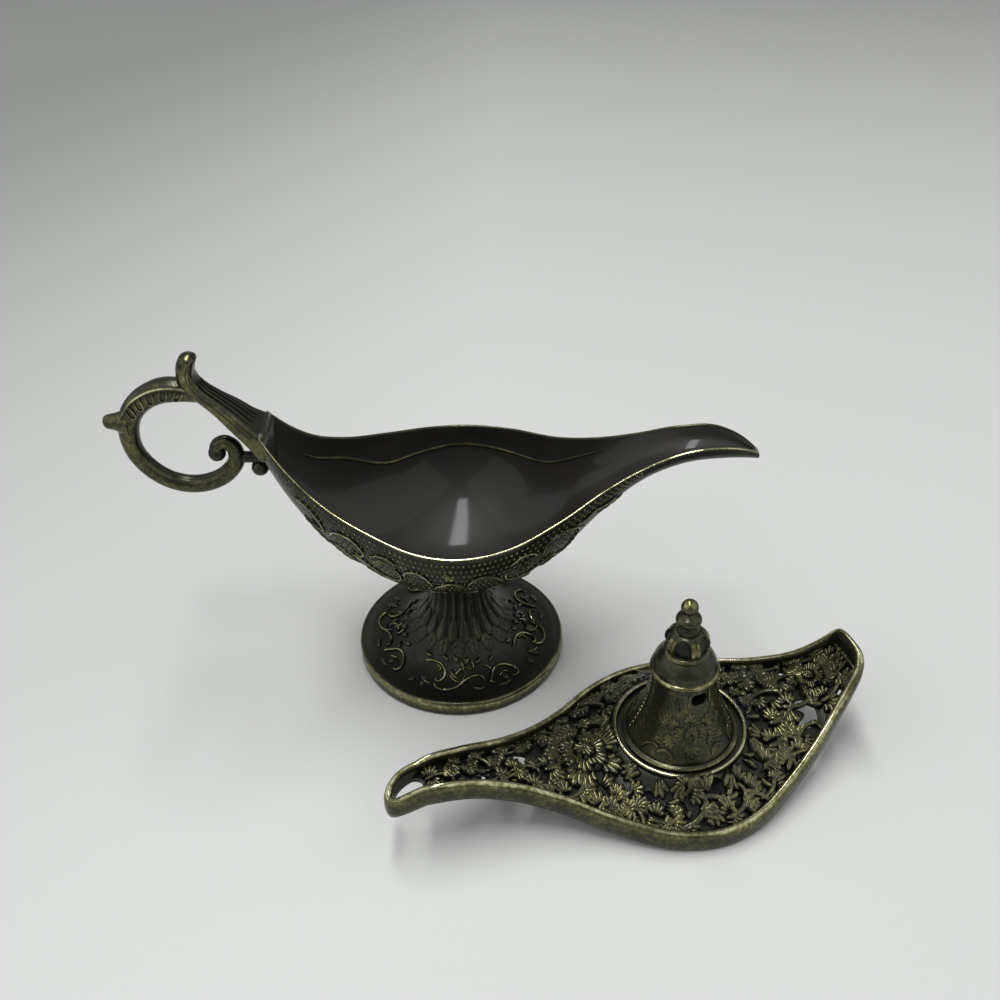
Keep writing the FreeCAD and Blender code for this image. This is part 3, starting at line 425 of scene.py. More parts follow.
# The flutes start at 7.4 mm up and are full at 10.4 mm. The bore and the hollow, the last eight points
# of the profile, have none.
on_top = np.arange(len(foot_profile)) < len(foot_profile) - 8
depth = FLUTE_DEPTH * np.clip((foot_profile[:, 1] - 7.4) / 3.0, 0, 1) * on_top
groove = (0.5 + 0.5 * np.cos(foot_angle * FLUTES)) ** 1.6
foot_grid[..., 0] -= depth[:, None] * groove * np.cos(foot_angle)
foot_grid[..., 1] -= depth[:, None] * groove * np.sin(foot_angle)
brim_edge = np.exp(-((np.hypot(foot_profile[:, 0] - 18.85, foot_profile[:, 1] - 2.4)) / 0.5) ** 2)[:, None]
brim_side = (foot_profile[:, :1] > 18.4) & (foot_profile[:, 1:] < 2.3)
between_flutes = depth[:, None] / FLUTE_DEPTH * (0.5 - groove)
wear_and_painted_light = 0.1 + 0.62 * brim_edge + 0.24 * brim_side + between_flutes * 0.5
foot = make_piece("foot_turned", "lamp", [(foot_grid, wear_and_painted_light)], ring_rows=True)
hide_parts("foot")

foot_top = np.concatenate([flare, stem[1:]])[::-1]


def foot_at(x, y):
    """A point on top of the foot over x, y: the flare's height at that distance from the axis."""
    reach = np.hypot(x, y)
    return np.stack([x, y, np.interp(reach, foot_top[:, 0], foot_top[:, 1])], -1)


def turned(points, degrees, size=1.0):
    """Points on a plan, turned about its origin and made to a size."""
    a = math.radians(degrees)
    return np.asarray(points, float) @ (size * np.array([[math.cos(a), math.sin(a)],
                                                         [-math.sin(a), math.cos(a)]]))


# Scrollwork on the flare, cast with the foot: the same motif four times round, given as the width,
# kind and plan of each stroke, with a ring of lobes and one of leaves where the stem begins.
FOOT_MOTIF = (
    (0.62, "scroll", (-6.3, -9.7, -4.5, -10, -3, -10.8, -2.3, -12.2, -2.8, -13.5, -3.6, -13.9, -4.1, -13.3,
                      -3.6, -12.9)),
    (0.62, "scroll", (-4.2, -13.5, -4, -14.8, -3, -15.5, -1.5, -15.6, 0, -15, 1.2, -13.8, 2.5, -13, 4, -12.8,
                      4.8, -13.4, 4.6, -14)),
    (0.62, "scroll", (6.8, -13.8, 6, -13.8, 6, -12.5, 6.4, -11, 7.5, -10.2, 9, -10, 10.3, -10.5, 10.8, -11.4,
                      10.2, -12, 9.6, -11.8)),
    (0.5, "scroll", (4.5, -10.8, 5.2, -10.9, 6, -11.4)),
    (0.6, "scroll", (-0.6, -12.9, 0.4, -11.8, 1.8, -11.5, 2.6, -12)),
    (1.1, "lobe", (-1.7, -10.6, -2.4, -9.8, -2.8, -9.4)),
    (1.2, "lobe", (-0.2, -10.9, -0.5, -10.2, -0.6, -9.6)),
    (1.2, "lobe", (1.2, -11.2, 1.5, -10.4, 1.6, -9.8)), (1.1, "lobe", (3.0, -10.9, 3.6, -10.1, 4.0, -9.6)),
    (1.0, "lobe", (5.4, -10.2, 5.8, -9.4, 5.9, -8.8)), (1.1, "lobe", (-4.6, -9.4, -5.4, -8.8, -5.8, -8.4)),
    (1.3, "lobe", (0.2, -13.8, -0.6, -13, -1.4, -11.8)), (1.0, "lobe", (7.6, -11.6, 8.4, -12.2, 9, -13)),
    (1.0, "lobe", (2.4, -14.9, 3.6, -15.2, 5, -15)), (1.0, "lobe", (7.2, -14.4, 8.6, -13.8, 9.6, -13)),
    (1.0, "lobe", (-5.4, -12.2, -6.2, -13.4, -6.6, -14.6)), (0.9, "lobe", (-7.6, -12, -8.4, -13, -9, -13.4)),
    (0.45, "scroll", (-6.6, -12.4, -6, -13.6, -4.8, -14.4)),
    (0.45, "scroll", (-1.6, -12.6, -0.9, -13.6, 0.4, -14.2, 1.4, -12.6)),
    (0.45, "scroll", (-3.9, -10.6, -3.1, -11.6, -3.6, -12.2)),
    (0.45, "scroll", (0.5, -10.6, 0.9, -12, 0.2, -12.6)),
    (0.45, "scroll", (7.4, -12.6, 8.2, -11.4, 9.2, -11.4)),
    (0.45, "scroll", (2.2, -10.2, 2.7, -11.4, 2.2, -12)),
)
MOTIF_HEIGHT, MOTIF_WORN = 0.42, {"scroll": 0.85, "lobe": 0.5}
# Each ring: its kind, how far it is turned in shares of a flute, its reaches from the axis, the width
# and height of its strokes, and how bright they are.
FOOT_RINGS = (("lobe", 0.5, (5.6, 6.8, 8.3), 2.0, 0.36, 0.3),
              ("leaf", 0.0, (7.2, 8.7, 10.4), 2.3, 0.34, 0.34))
parts = []
for quarter in range(4):
    for width, kind, line in FOOT_MOTIF:
        points = turned(np.reshape(line, (-1, 2)), 90 * quarter)
        parts.append(stroke(foot_at, 1, points, width, MOTIF_HEIGHT, kind, bright=MOTIF_WORN[kind]))
for k in range(FLUTES):
    for kind, shift, reaches, width, height, bright in FOOT_RINGS:
        ray = turned([(reach, 0) for reach in reaches], 360 * (k + shift) / FLUTES)
        parts.append(stroke(foot_at, 1, ray, width, height, kind, bright=bright))
make_piece("foot_scrolls", "lamp", parts)

# Handle, cast with the bowl: a neck that carries the rim back and up into a thumb leaf, a ring that
# curls into a volute, a pointed knob behind and a bridge with a ball under the heel.
NECK_START, NECK_LENGTH, NECK_HALF_WIDTH, NECK_HALF_HEIGHT = (-31.3, 46.6), 18.5, 4.2, 2.65
# Sections of the neck: place back and up in neck lengths, heading in degrees, and half width and half
# height in shares of the two sizes above. The ring's and the knob's lines are in ring radii.
NECK = np.array([
    (0, 0.03, 180, 1.04, 1.06), (-0.127, 0.159, 166, 0.86, 0.79), (-0.257, 0.3, 145, 0.74, 0.645),
    (-0.376, 0.411, 141, 0.6, 0.6), (-0.503, 0.527, 136, 0.52, 0.6), (-0.582, 0.649, 128, 0.47, 0.74),
    (-0.577, 0.776, 108, 0.44, 0.72), (-0.545, 0.866, 82, 0.38, 0.52), (-0.536, 0.892, 78, 0.12, 0.18)])
RING_CENTRE, RING_RADIUS, RING_TUBE = (-45.7, 46.9), 9.3, 1.5
RING_LINE = ((0.56, 0.905), (0.24, 1.01), (-0.12, 1.01), (-0.47, 0.85), (-0.75, 0.54), (-0.87, 0.14),
             (-0.84, -0.26), (-0.62, -0.66), (-0.31, -0.91), (0.06, -1.01), (0.45, -0.95), (0.8, -0.73),
             (0.99, -0.41), (0.95, -0.17), (0.81, -0.075), (0.66, -0.17), (0.66, -0.34))
RING_SHARES = (0.8, 1.25, 1.38, 1.34, 1.25, 1.15, 1.06, 1.04, 1.03, 1.03, 1.03, 1, 0.95, 0.88, 0.82, 0.8,
               0.85)
KNOB_LINE = ((-0.8, 0.36), (-0.95, 0.365), (-1.07, 0.37), (-1.17, 0.37), (-1.235, 0.367), (-1.27, 0.364),
             (-1.284, 0.362))
KNOB_TUBE, KNOB_SHARES = 1.2, (1.9, 1.65, 1.25, 1.08, 0.9, 0.58, 0.2)
BRIDGE_LINE = ((-36.49, 43.09), (-33.5, 43.09), (-30.9, 43.09))
BALL_RADIUS, BALLS = 1.5, ((-32.8, 40.96), (-39.7, 44.0))


def hoops(x, z, heading, half_width, half_height, dip=0.0, square=1.0, columns=20):
    """Rings of points carried along a line in the lamp's middle plane: each is an ellipse, half_width
    across the lamp and half_height square to the line, drawn out towards a square where its cosine and
    sine are raised to a power under one, with a dip along its top. The ends are closed."""
    turn = np.linspace(0, 2 * math.pi, columns, endpoint=False)
    power = np.broadcast_to(square, x.shape)[:, None]
    side = np.sign(np.cos(turn)) * np.abs(np.cos(turn)) ** power
    lift = np.sign(np.sin(turn)) * np.abs(np.sin(turn)) ** power
    lift = lift - np.broadcast_to(dip, x.shape)[:, None] * np.exp(-(side / 0.6) ** 4) * (np.sin(turn) > 0)
    angle = np.radians(heading)[:, None]
    tall = half_height[:, None] * lift
    grid = np.stack([x[:, None] + np.sin(angle) * tall, half_width[:, None] * side,
                     z[:, None] - np.cos(angle) * tall], -1)
    ends = [np.broadcast_to(g.mean(0), (1, columns, 3)) for g in (grid[0], grid[-1])]
    return np.concatenate([ends[0], grid, ends[1]])


def tube(line, radii, rows):
    """A round bar along a smooth line of points in the middle plane, with the radius read along it."""
    line = np.asarray(line, float)
    run = run_along(line)
    at = np.linspace(0, run[-1], rows)
    x, z, radius = through(at, run, line[:, 0]), through(at, run, line[:, 1]), through(at, run, radii)
    heading = np.degrees(np.arctan2(np.gradient(z), np.gradient(x)))
    return hoops(x, z, heading, radius, radius)


place = np.linspace(-0.35, len(NECK) - 1, 70)
back, rise, heading, wide, tall = [through(place, np.arange(len(NECK)), NECK[:, k]) for k in range(5)]
back = back - 0.1 * np.minimum(place, 0)
neck = hoops(NECK_START[0] + back * NECK_LENGTH, NECK_START[1] + rise * NECK_LENGTH, heading,
             wide * NECK_HALF_WIDTH, tall * NECK_HALF_HEIGHT,
             dip=np.interp(place, (0, 1, 3, 7), (0.05, 0.3, 0.3, 0.1)),
             square=np.interp(place, (0, 1.6, 4), (0.4, 0.6, 1.0)), columns=56)
neck_worn = 0.26 + 0.34 * np.abs(np.cos(np.linspace(0, 2 * math.pi, 56, endpoint=False))) ** 3
ring_points = np.array(RING_CENTRE) + RING_RADIUS * np.array(RING_LINE)
ring_grid = tube(ring_points, RING_TUBE * np.array(RING_SHARES), 130)
knob_points = np.array(RING_CENTRE) + RING_RADIUS * np.array(KNOB_LINE)
knob_grid = tube(knob_points, KNOB_TUBE * np.array(KNOB_SHARES), 60)
bridge_grid = tube(BRIDGE_LINE, np.ones(3), 12)
half_turn = np.linspace(-math.pi / 2, math.pi / 2, 15)
ball_grid, curl_grid = [
    lathe(np.stack([BALL_RADIUS * np.cos(half_turn), z + BALL_RADIUS * np.sin(half_turn)], 1), 20, (x, 0.0))
    for x, z in BALLS]
ring_worn = 0.26 + 0.2 * np.abs(np.cos(np.linspace(0, 2 * math.pi, 20, endpoint=False)))
handle = make_piece("handle_casting", "lamp", [
    (neck, neck_worn), (ring_grid, ring_worn), (knob_grid, 0.55), (bridge_grid, 0.3), (ball_grid, 0.3),
    (curl_grid, 0.25)])
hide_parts("handle")


# Relief cast with the handle: along the neck two rims and four fine ribs, and along both sides of the
# ring a row of leaf loops under a spine.
def neck_at(u, angle):
    """A point on the neck: u is the place along its sections and angle runs round it."""
    k = [through(u, np.arange(len(NECK)), NECK[:, i]) for i in range(5)]
    head = np.radians(k[2])
    tall = k[4] * NECK_HALF_HEIGHT * np.sin(angle)
    return np.stack([NECK_START[0] + k[0] * NECK_LENGTH + np.sin(head) * tall,
                     k[3] * NECK_HALF_WIDTH * np.cos(angle),
                     NECK_START[1] + k[1] * NECK_LENGTH - np.cos(head) * tall], -1)


ring_run = run_along(ring_points)


def ring_at(u, angle):
    """A point on the ring: u is the way along it in millimetres and angle runs round it."""
    x, z = through(u, ring_run, ring_points[:, 0]), through(u, ring_run, ring_points[:, 1])
    ahead = unit(np.stack([through(u + 0.05, ring_run, ring_points[:, 0]) - x,
                           through(u + 0.05, ring_run, ring_points[:, 1]) - z], -1))
    radius = RING_TUBE * through(u, ring_run, RING_SHARES)
    return np.stack([x + ahead[..., 1] * radius * np.sin(angle), radius * np.cos(angle),
                     z - ahead[..., 0] * radius * np.sin(angle)], -1)


def straight(start, end, count, angle):
    """A line along the neck or the ring that stays at one angle round it."""
    return np.stack([np.linspace(start, end, count), np.full(count, angle)], 1)


LOOP = np.array([(0.1, -0.5), (0.15, -0.1), (0.6, 0.3), (1.15, 0.5), (1.6, 0.3), (1.35, -0.1), (1.0, -0.5)])
LOOPS, FIRST_LOOP, LOOP_PITCH = 5, 2.6, 2.3
parts = [stroke(neck_at, 1, straight(0.4, 6.6, 16, angle), 0.9, 0.2, bright=0.7)
         for angle in (0.32, math.pi - 0.32)]
for face, inward in ((math.pi, 1), (0.0, -1)):
    parts.append(stroke(ring_at, 1, straight(0.2, 15, 12, face - 0.62 * inward), 0.9, 0.3))
    for k in range(LOOPS):
        line = LOOP * [1, inward] + [FIRST_LOOP + LOOP_PITCH * k, face]
        parts.append(stroke(ring_at, 1, line, 0.4, 0.24, bright=0.85))
parts += [stroke(neck_at, 1, straight(0.5, 4.4, 10, angle), 0.6, 0.05, bright=0.3)
          for angle in (1.1, 1.4, 1.75, 2.05)]
make_piece("handle_leaves", "lamp", parts)

# Lid, a casting of its own that lies beside the lamp: an upright edge on the bowl's rim curve, a crowned
# plate of openwork foliage, and a collar with the floor that the turret stands on.
LID_HEIGHT, LID_RECESS, LID_CROWN = 4.0, 2.2, 5.9
CROWNS = (0.02, 0.03, 0.12, 0.5, 0.7, 0.95, 1.36, 0.83, 0.55, 0.28, 0.12, 0.06, 0.03, 0.01, 0.01)
HEEL_END, HEEL_ROUND, TIP_START, TIP_ROUND = -31.3, 2.0, 45.2, 6.0
TURRET_X, COLLAR_REACH = 0.7, 11.0
lid_place = (Matrix.Translation((38.5, -28.0, 0.032)) @ Matrix.Rotation(math.radians(199.7), 4, "Z")
             @ Matrix.Rotation(math.radians(0.9), 4, "Y"))
LID_TURN, LID_SHIFT = np.array(lid_place.to_3x3()), np.array(lid_place.translation)


def lay(grid):
    """The lid's own place taken to where it lies: turned and tipped, then moved."""
    return grid @ LID_TURN.T + LID_SHIFT


# The plan of the edge is the bowl's rim, rounded off at the heel and the tip. Its section, measured
# inwards and up, is an upright wall with rounded edges.
quarter = np.linspace(0, math.pi / 2, 24)
HEEL_START = HEEL_END + HEEL_ROUND
heel_x = HEEL_END + HEEL_ROUND * (1 - np.cos(quarter))
body_x = np.linspace(HEEL_START, TIP_START, 150)[1:-1]
tip_x = TIP_START + TIP_ROUND * np.sin(quarter)
heel_half = rim_at(heel_x)[0] * (1 - np.clip((HEEL_START - heel_x) / HEEL_ROUND, 0, 1) ** 3.4) ** (1 / 3.4)
tip_half = rim_at(TIP_START)[0] * np.clip(1 - np.sin(quarter) ** 2.6, 0, 1) ** (1 / 2.2)
lid_x = np.concatenate([heel_x, body_x, tip_x])
lid_half = np.concatenate([heel_half, rim_at(body_x)[0], tip_half])
plan = np.concatenate([np.stack([lid_x, lid_half], 1), np.stack([lid_x, -lid_half], 1)[::-1][1:-1]])
ahead = np.roll(plan, -1, 0) - np.roll(plan, 1, 0)
inwards = unit(np.stack([ahead[:, 1], -ahead[:, 0]], 1))
section = np.array([(0.5, 0.06), (0.14, 0.35), (0.0, 1.2), (0.0, 2.6), (0.16, 3.35), (0.5, 3.82), (0.9, 3.95),
                    (1.25, 3.82), (1.5, 3.3), (1.5, 1.0), (1.3, 0.3)])
section_worn = np.array([0.4, 0.46, 0.42, 0.45, 0.62, 0.8, 0.84, 0.74, 0.36, 0.12, 0.15])
rim_z = rim_at(plan[:, 0])[1]
band = np.concatenate([plan[:, None] + inwards[:, None] * section[None, :, :1],
                       rim_z[:, None, None] + section[None, :, 1:]], -1)
lid_edge = make_piece("lid_edge", "lid", [(lay(band), section_worn)], ring_rows=True)
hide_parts("lid")


def plate_at(x, y):
    """A point on top of the openwork plate: the edge's height less the recess, plus the crown, which
    falls off with the square of the share of the way out, and a rise of 1.2 mm up to the collar, which
    fades out over about 2 mm."""
    half_width, rise, _ = rim_at(x)
    crown = through((x + HEEL_REACH) / BOWL_LENGTH, STATIONS, CROWNS) * LID_CROWN
    share = np.clip(np.abs(y) / np.maximum(half_width - 0.5, 0.2), 0, 1)
    rise = rise + 1.2 * np.exp(-(np.maximum(np.hypot(x - TURRET_X, y) - COLLAR_REACH, 0) / 1.8) ** 2)
    return np.stack([x, y, rise + LID_HEIGHT - LID_RECESS + crown * (1 - share ** 2)], -1)


def on_plate(line):
    """Points kept between the collar and the edge, so that what is drawn there grows out of both."""
    line = np.array(line, float).reshape(-1, 2)
    line[:, 0] = np.clip(line[:, 0], -30.0, 46.5)
    room = np.maximum(np.interp(line[:, 0], lid_x, lid_half) - 1.1, 0.1)
    line[:, 1] = np.clip(line[:, 1], -room, room)
    from_axis = line - [TURRET_X, 0]
    reach = np.linalg.norm(from_axis, axis=1)[:, None]
    return np.where(reach < COLLAR_REACH, [TURRET_X, 0] + from_axis * COLLAR_REACH / reach, line)


def palmette(x, y, way, size, spread=26.0, number=5):
    """The middle lines of the round fingers of one leaf, side by side from its foot at x, y, with the
    longest in the middle and the outer ones bent away."""
    fingers = []
    for lean in np.arange(number) - (number - 1) / 2:
        start = np.array([x, y]) + 0.42 * size * lean * turned((0, 1), way)
        half_reach = 0.5 * size * (3.1 - 0.36 * lean * lean)
        half = start + half_reach * turned((1, 0), way + 0.35 * spread * lean)
        end = half + half_reach * turned((1, 0), way + 1.45 * spread * lean)
        fingers.append(np.array([start, half, end]))
    return fingers


def leaf(x, y, way, size, lift, spread=21.0, number=5):
    """One leaf: its round fingers, rubbed bright along their ridges, on a low dark body that joins them.
    Each entry is the width, the kind, the line, how far it is lifted, and how bright its ridge is."""
    fingers = palmette(x, y, way, size, spread, number)
    middle = fingers[number // 2]
    body = (4.2 * size * (number / 5), "lobe", middle[0] + (middle - middle[0]) * 0.92, lift - 0.36, 0.0)
    return [body] + [(1.4 * size, "lobe", line, lift, 0.5) for line in fingers]


# Sprigs of the openwork: the place where each starts, the way it grows in degrees, its size, and the
# side that it curls to. They leave the holes of the pattern open between them.
SPRIGS = (
    (44.5, 0.2, 180, 0.75, 1), (41, 1.8, 200, 0.7, 1), (40.5, -1.6, 160, 0.7, -1), (37, -2.6, 150, 0.7, 1),
    (36.5, 2.6, 190, 0.7, -1), (33, 3, 200, 0.75, 1), (32.8, -3.6, 165, 0.75, -1), (31, 1.2, 190, 0.8, 1),
    (29, 4.6, 180, 0.85, 1), (28, -5.2, 190, 0.85, 1), (25.5, 1.5, 200, 0.9, -1), (24.5, -6.8, 170, 0.9, 1),
    (24.6, 6.6, 190, 0.9, -1), (12, 12.5, 150, 0.9, -1), (8, 15.8, 190, 1, -1), (3.5, 13.2, 160, 1, 1),
    (0.5, 16.6, 200, 1, -1), (-4, 13.4, 150, 1, 1), (-6.5, 15.2, 210, 0.9, -1), (-9, 11, 190, 1, 1),
    (-11.5, 8, 200, 1, -1), (-13, 12.3, 215, 0.9, 1), (-13.5, 4.2, 190, 1, -1), (-16.5, 8.8, 215, 0.9, 1),
    (-12.5, -1, 190, 1, 1), (-17, 2, 170, 1, -1), (-17.5, -2.6, 190, 1, 1), (-12.5, -6.4, 190, 1, -1),
    (-22, -1.5, 175, 1, 1), (-23.5, 3.6, 190, 0.9, -1), (-22.5, -5.2, 170, 0.9, 1), (-27, 1.5, 180, 0.8, 1),
    (-27.4, -1.8, 180, 0.8, -1), (-17, -8.8, 145, 0.9, -1), (-10.5, -10.6, 170, 1, 1),
    (-6.5, -14.6, 150, 0.9, -1), (-3.5, -12.4, 190, 1, 1), (1, -16.4, 160, 1, -1), (4, -13, 200, 1, 1),
    (8.5, -15.6, 170, 1, -1), (11, -11.6, 200, 1, 1), (14.5, -12.6, 160, 0.9, 1), (19.5, -9.4, 160, 0.9, -1),
    (19.5, 9.8, 200, 0.9, 1), (9.4, 13.4, 120, 0.8, 1), (5.6, 12.2, 215, 0.8, -1), (13.6, 9.6, 100, 0.8, 1),
    (18.2, 10.2, 172, 0.8, 1), (16.4, 8.6, 190, 0.8, -1), (15.8, 12.6, 215, 0.7, 1),
)
# Where the three leaves of a sprig grow from, how they lean from it in degrees, and their share of it.
SPRIG_LEAVES = ((1.2, 0.6, 72, 1.0), (4.3, 0.2, 14, 1.0), (1.4, -0.3, -80, 0.85))


def sprig(x, y, way, size, curl):
    """One sprig: a curled stem with a leaf of round fingers on each side and one at its end, turned the
    way that it grows and made to its size."""
    stem = np.array([(0, 0), (2.2, 0.5), (4.2, 0.2), (5.6, -1.0), (5.4, -2.4), (4.2, -2.6)]) * [1, curl]
    grown = [(1.15 * size, "scroll", turned(stem, way, size) + (x, y), 0.12, 0.5)]
    for foot_x, foot_y, lean, share in SPRIG_LEAVES:
        px, py = turned((foot_x, foot_y * curl), way, size) + (x, y)
        grown += leaf(px, py, way + lean * curl, size * share, 0.0)
    return grown


# The holes of the openwork: place along and across the lid, half length and half width, and turn.
HOLES = np.array([
    (47.8, -0.2, 3.0, 1.9, 0), (36.2, 1.2, 1.8, 0.8, 0), (28.3, -1.9, 2.1, 1.4, -20),
    (31.6, 3.4, 0.9, 0.7, 0), (24.6, 4.6, 0.8, 1.3, 20), (0.2, 12.6, 2.0, 1.3, 0),
    (-2.8, 14.8, 1.6, 1.1, 30), (6.6, 13.4, 1.0, 1.5, 10), (10.8, 10.0, 1.2, 1.2, 0),
    (14.6, 12.2, 1.1, 0.7, -40), (-8.6, 9.7, 1.7, 1.3, 30), (-7.6, 13.6, 1.3, 0.8, 20),
    (-14.4, 7.4, 1.0, 0.9, 0), (-12.2, 1.6, 0.9, 1.2, 0), (-20.6, 4.0, 2.2, 2.9, -20),
    (-14.0, -3.2, 1.2, 1.5, 0), (-19.6, -2.6, 1.2, 0.8, 0), (-16.2, 11.4, 1.4, 0.8, 35),
    (-16.0, -9.2, 1.6, 1.1, -30), (-8.0, -11.2, 1.8, 1.1, -20), (-1.0, -13.6, 1.9, 1.2, 0),
    (5.4, -15.4, 1.4, 1.1, 0), (9.6, -11.2, 1.1, 1.6, 0), (14.8, -9.0, 1.4, 1.0, 30),
    (-20.8, -5.6, 1.5, 1.2, 0), (23.4, -7.0, 1.4, 0.8, 25), (24.2, 0.2, 0.8, 1.5, 0),
    (32.4, -2.6, 1.1, 0.8, 0), (39.8, -1.2, 0.9, 0.7, 0), (-26.6, 3.4, 1.0, 0.8, 0),
    (20.0, 7.6, 1.2, 0.7, -20), (3.4, 15.9, 1.2, 0.8, 0)])
COLLAR_BORE = 10.75


def from_hole(x, y):
    """How far a place on the plate is from the nearest hole or from the collar's bore: the reach in each
    oval, in shares of its half length and half width, less one, times the shorter of these."""
    x, y = np.asarray(x, float), np.asarray(y, float)
    cx, cy, half_length, half_width, way = HOLES.T.reshape(5, -1, *([1] * x.ndim))
    way = np.radians(way)
    u = (x - cx) * np.cos(way) + (y - cy) * np.sin(way)
    v = (y - cy) * np.cos(way) - (x - cx) * np.sin(way)
    ovals = (np.hypot(u / half_length, v / half_width) - 1) * np.minimum(half_length, half_width)
    return np.minimum(ovals.min(0), np.hypot(x - TURRET_X, y) - COLLAR_BORE)


# The ground of the openwork, 0.9 mm thick and 0.3 mm under the leaves: a grid along and across the lid, less
# the faces in the holes, with the corners at a hole drawn onto its outline, and walls there. It is also
# painted shade: it stays solid between the listed holes, and its top gets the darkest colour, standing in for
# the shade seen through the openwork under the lid.
GROUND_DROP, GROUND_THICKNESS = 0.3, 0.9
ground_x, ground_share = np.meshgrid(np.linspace(-30.4, 47.2, 190), np.linspace(-1, 1, 88), indexing="ij")
ground_y = ground_share * (np.interp(ground_x, lid_x, lid_half) - 0.8)
rows, columns = ground_x.shape
keep = from_hole((ground_x[1:, 1:] + ground_x[:-1, :-1]) / 2, (ground_y[1:, 1:] + ground_y[:-1, :-1]) / 2) > 0
padded = np.zeros((rows + 1, columns + 1), bool)
padded[1:-1, 1:-1] = keep
faces_round = padded[1:, 1:].astype(int) + padded[:-1, 1:] + padded[1:, :-1] + padded[:-1, :-1]
at_hole = (faces_round > 0) & (faces_round < 4)
at_hole[[0, -1]] = at_hole[:, [0, -1]] = False
for _ in range(2):
    away = from_hole(ground_x, ground_y)
    slope_x = (from_hole(ground_x + 0.01, ground_y) - away) / 0.01
    slope_y = (from_hole(ground_x, ground_y + 0.01) - away) / 0.01
    move = np.clip(away / np.maximum(slope_x ** 2 + slope_y ** 2, 0.05), -0.5, 0.5)
    ground_x = np.where(at_hole, ground_x - move * slope_x, ground_x)
    ground_y = np.where(at_hole, ground_y - move * slope_y, ground_y)
ground = plate_at(ground_x, ground_y)
up = np.array([0, 0, 1.0])
layers = np.stack([ground - GROUND_DROP * up,
                   ground - (GROUND_DROP + GROUND_THICKNESS) * up]).reshape(1, -1, 3)
index = np.arange(rows * columns).reshape(rows, columns)
under = rows * columns
cell = np.stack([index[:-1, :-1], index[:-1, 1:], index[1:, 1:], index[1:, :-1]], -1)[keep]
lengthwise = padded[1:-1, 1:] != padded[1:-1, :-1]
crosswise = padded[1:, 1:-1] != padded[:-1, 1:-1]
first = np.concatenate([index[:-1][lengthwise], index[:, :-1][crosswise]])
second = np.concatenate([index[1:][lengthwise], index[:, 1:][crosswise]])
walls = np.stack([first, second, second + under, first + under], 1)
# Painted shade: the ground's top is set below the least wear so it takes the darkest colour; its edges at the
# holes are lighter, and its underside is 0.1.
ground_shade_and_wear = np.concatenate([np.where(at_hole, 0.4, -0.05).ravel(), np.full(under, 0.1)])[None]
make_piece("lid_ground_painted_shade", "lid", [(lay(layers), ground_shade_and_wear)],
           faces=np.concatenate([cell, cell[:, ::-1] + under, walls]))

foliage = [entry for place in SPRIGS for entry in sprig(*place)]
# Smaller leaves fill in between the sprigs, about 4 mm apart, each turned its own way, and a ring of
# them grows out from the collar.
FAN_PITCH, FAN_ROWS, COLLAR_FANS, COLLAR_FAN_REACH = 4.1, 3.0, 18, 11.4
# Two peonies, each petal a close leaf of fingers, laid like tiles from the outer ring to the heart: the
# place and size of each, and for each ring how far out it starts, its leaves' size, number and lift.
PEONIES, PEONY_CLEARANCE = ((17.6, -0.6, 1.0), (-24.6, -1.4, 0.62)), 6.5
PETAL_RINGS = ((3.6, 1.15, 8, 0.1), (1.4, 1.0, 6, 0.45), (-0.4, 0.75, 3, 0.8))
FOLIAGE_HEIGHT = {"scroll": 0.6, "lobe": 0.78}
fan_x, fan_y = [k.ravel() for k in np.meshgrid(np.arange(-28.5, 46, FAN_PITCH),
                                               np.arange(-18, 18.1, FAN_ROWS))]
fan_x = fan_x + FAN_PITCH / 2 * (np.round(fan_y / FAN_ROWS) % 2) + 0.5 * np.sin(fan_y * 2.3)
fan_way = 150 * np.sin(fan_x * 0.83 + 1.7 * np.cos(fan_y * 0.61)) + 30 * fan_y
collar_way = (np.arange(COLLAR_FANS) + 0.4) * (360 / COLLAR_FANS)
fan_x = np.concatenate([fan_x, TURRET_X + COLLAR_FAN_REACH * np.cos(np.radians(collar_way))])
fan_y = np.concatenate([fan_y, COLLAR_FAN_REACH * np.sin(np.radians(collar_way))])
fan_way = np.concatenate([fan_way, collar_way + 35 * (-1) ** np.arange(COLLAR_FANS)])
from_peony = np.hypot(fan_x - PEONIES[0][0], fan_y - PEONIES[0][1])
between = ((np.abs(fan_y) < np.interp(fan_x, lid_x, lid_half) - 1.4) & (from_hole(fan_x, fan_y) > 0.1)
           & (np.hypot(fan_x - TURRET_X, fan_y) > COLLAR_REACH + 0.3) & (from_peony > PEONY_CLEARANCE))
for x, y, way in zip(fan_x[between], fan_y[between], fan_way[between]):
    foliage += leaf(x, y, way, 0.9, -0.12, 24.0, 3)
for cx, cy, size in PEONIES:
    for near, share, number, lift in PETAL_RINGS:
        for k in range(number):
            way = 360 * (k + 0.37 * number) / number + 14 * math.sin(2.4 * k)
            px, py = np.array([cx, cy]) + size * near * turned((1, 0), way)
            foliage += leaf(px, py, way + 12 * math.sin(5.1 * k), size * share, lift, 15.0)
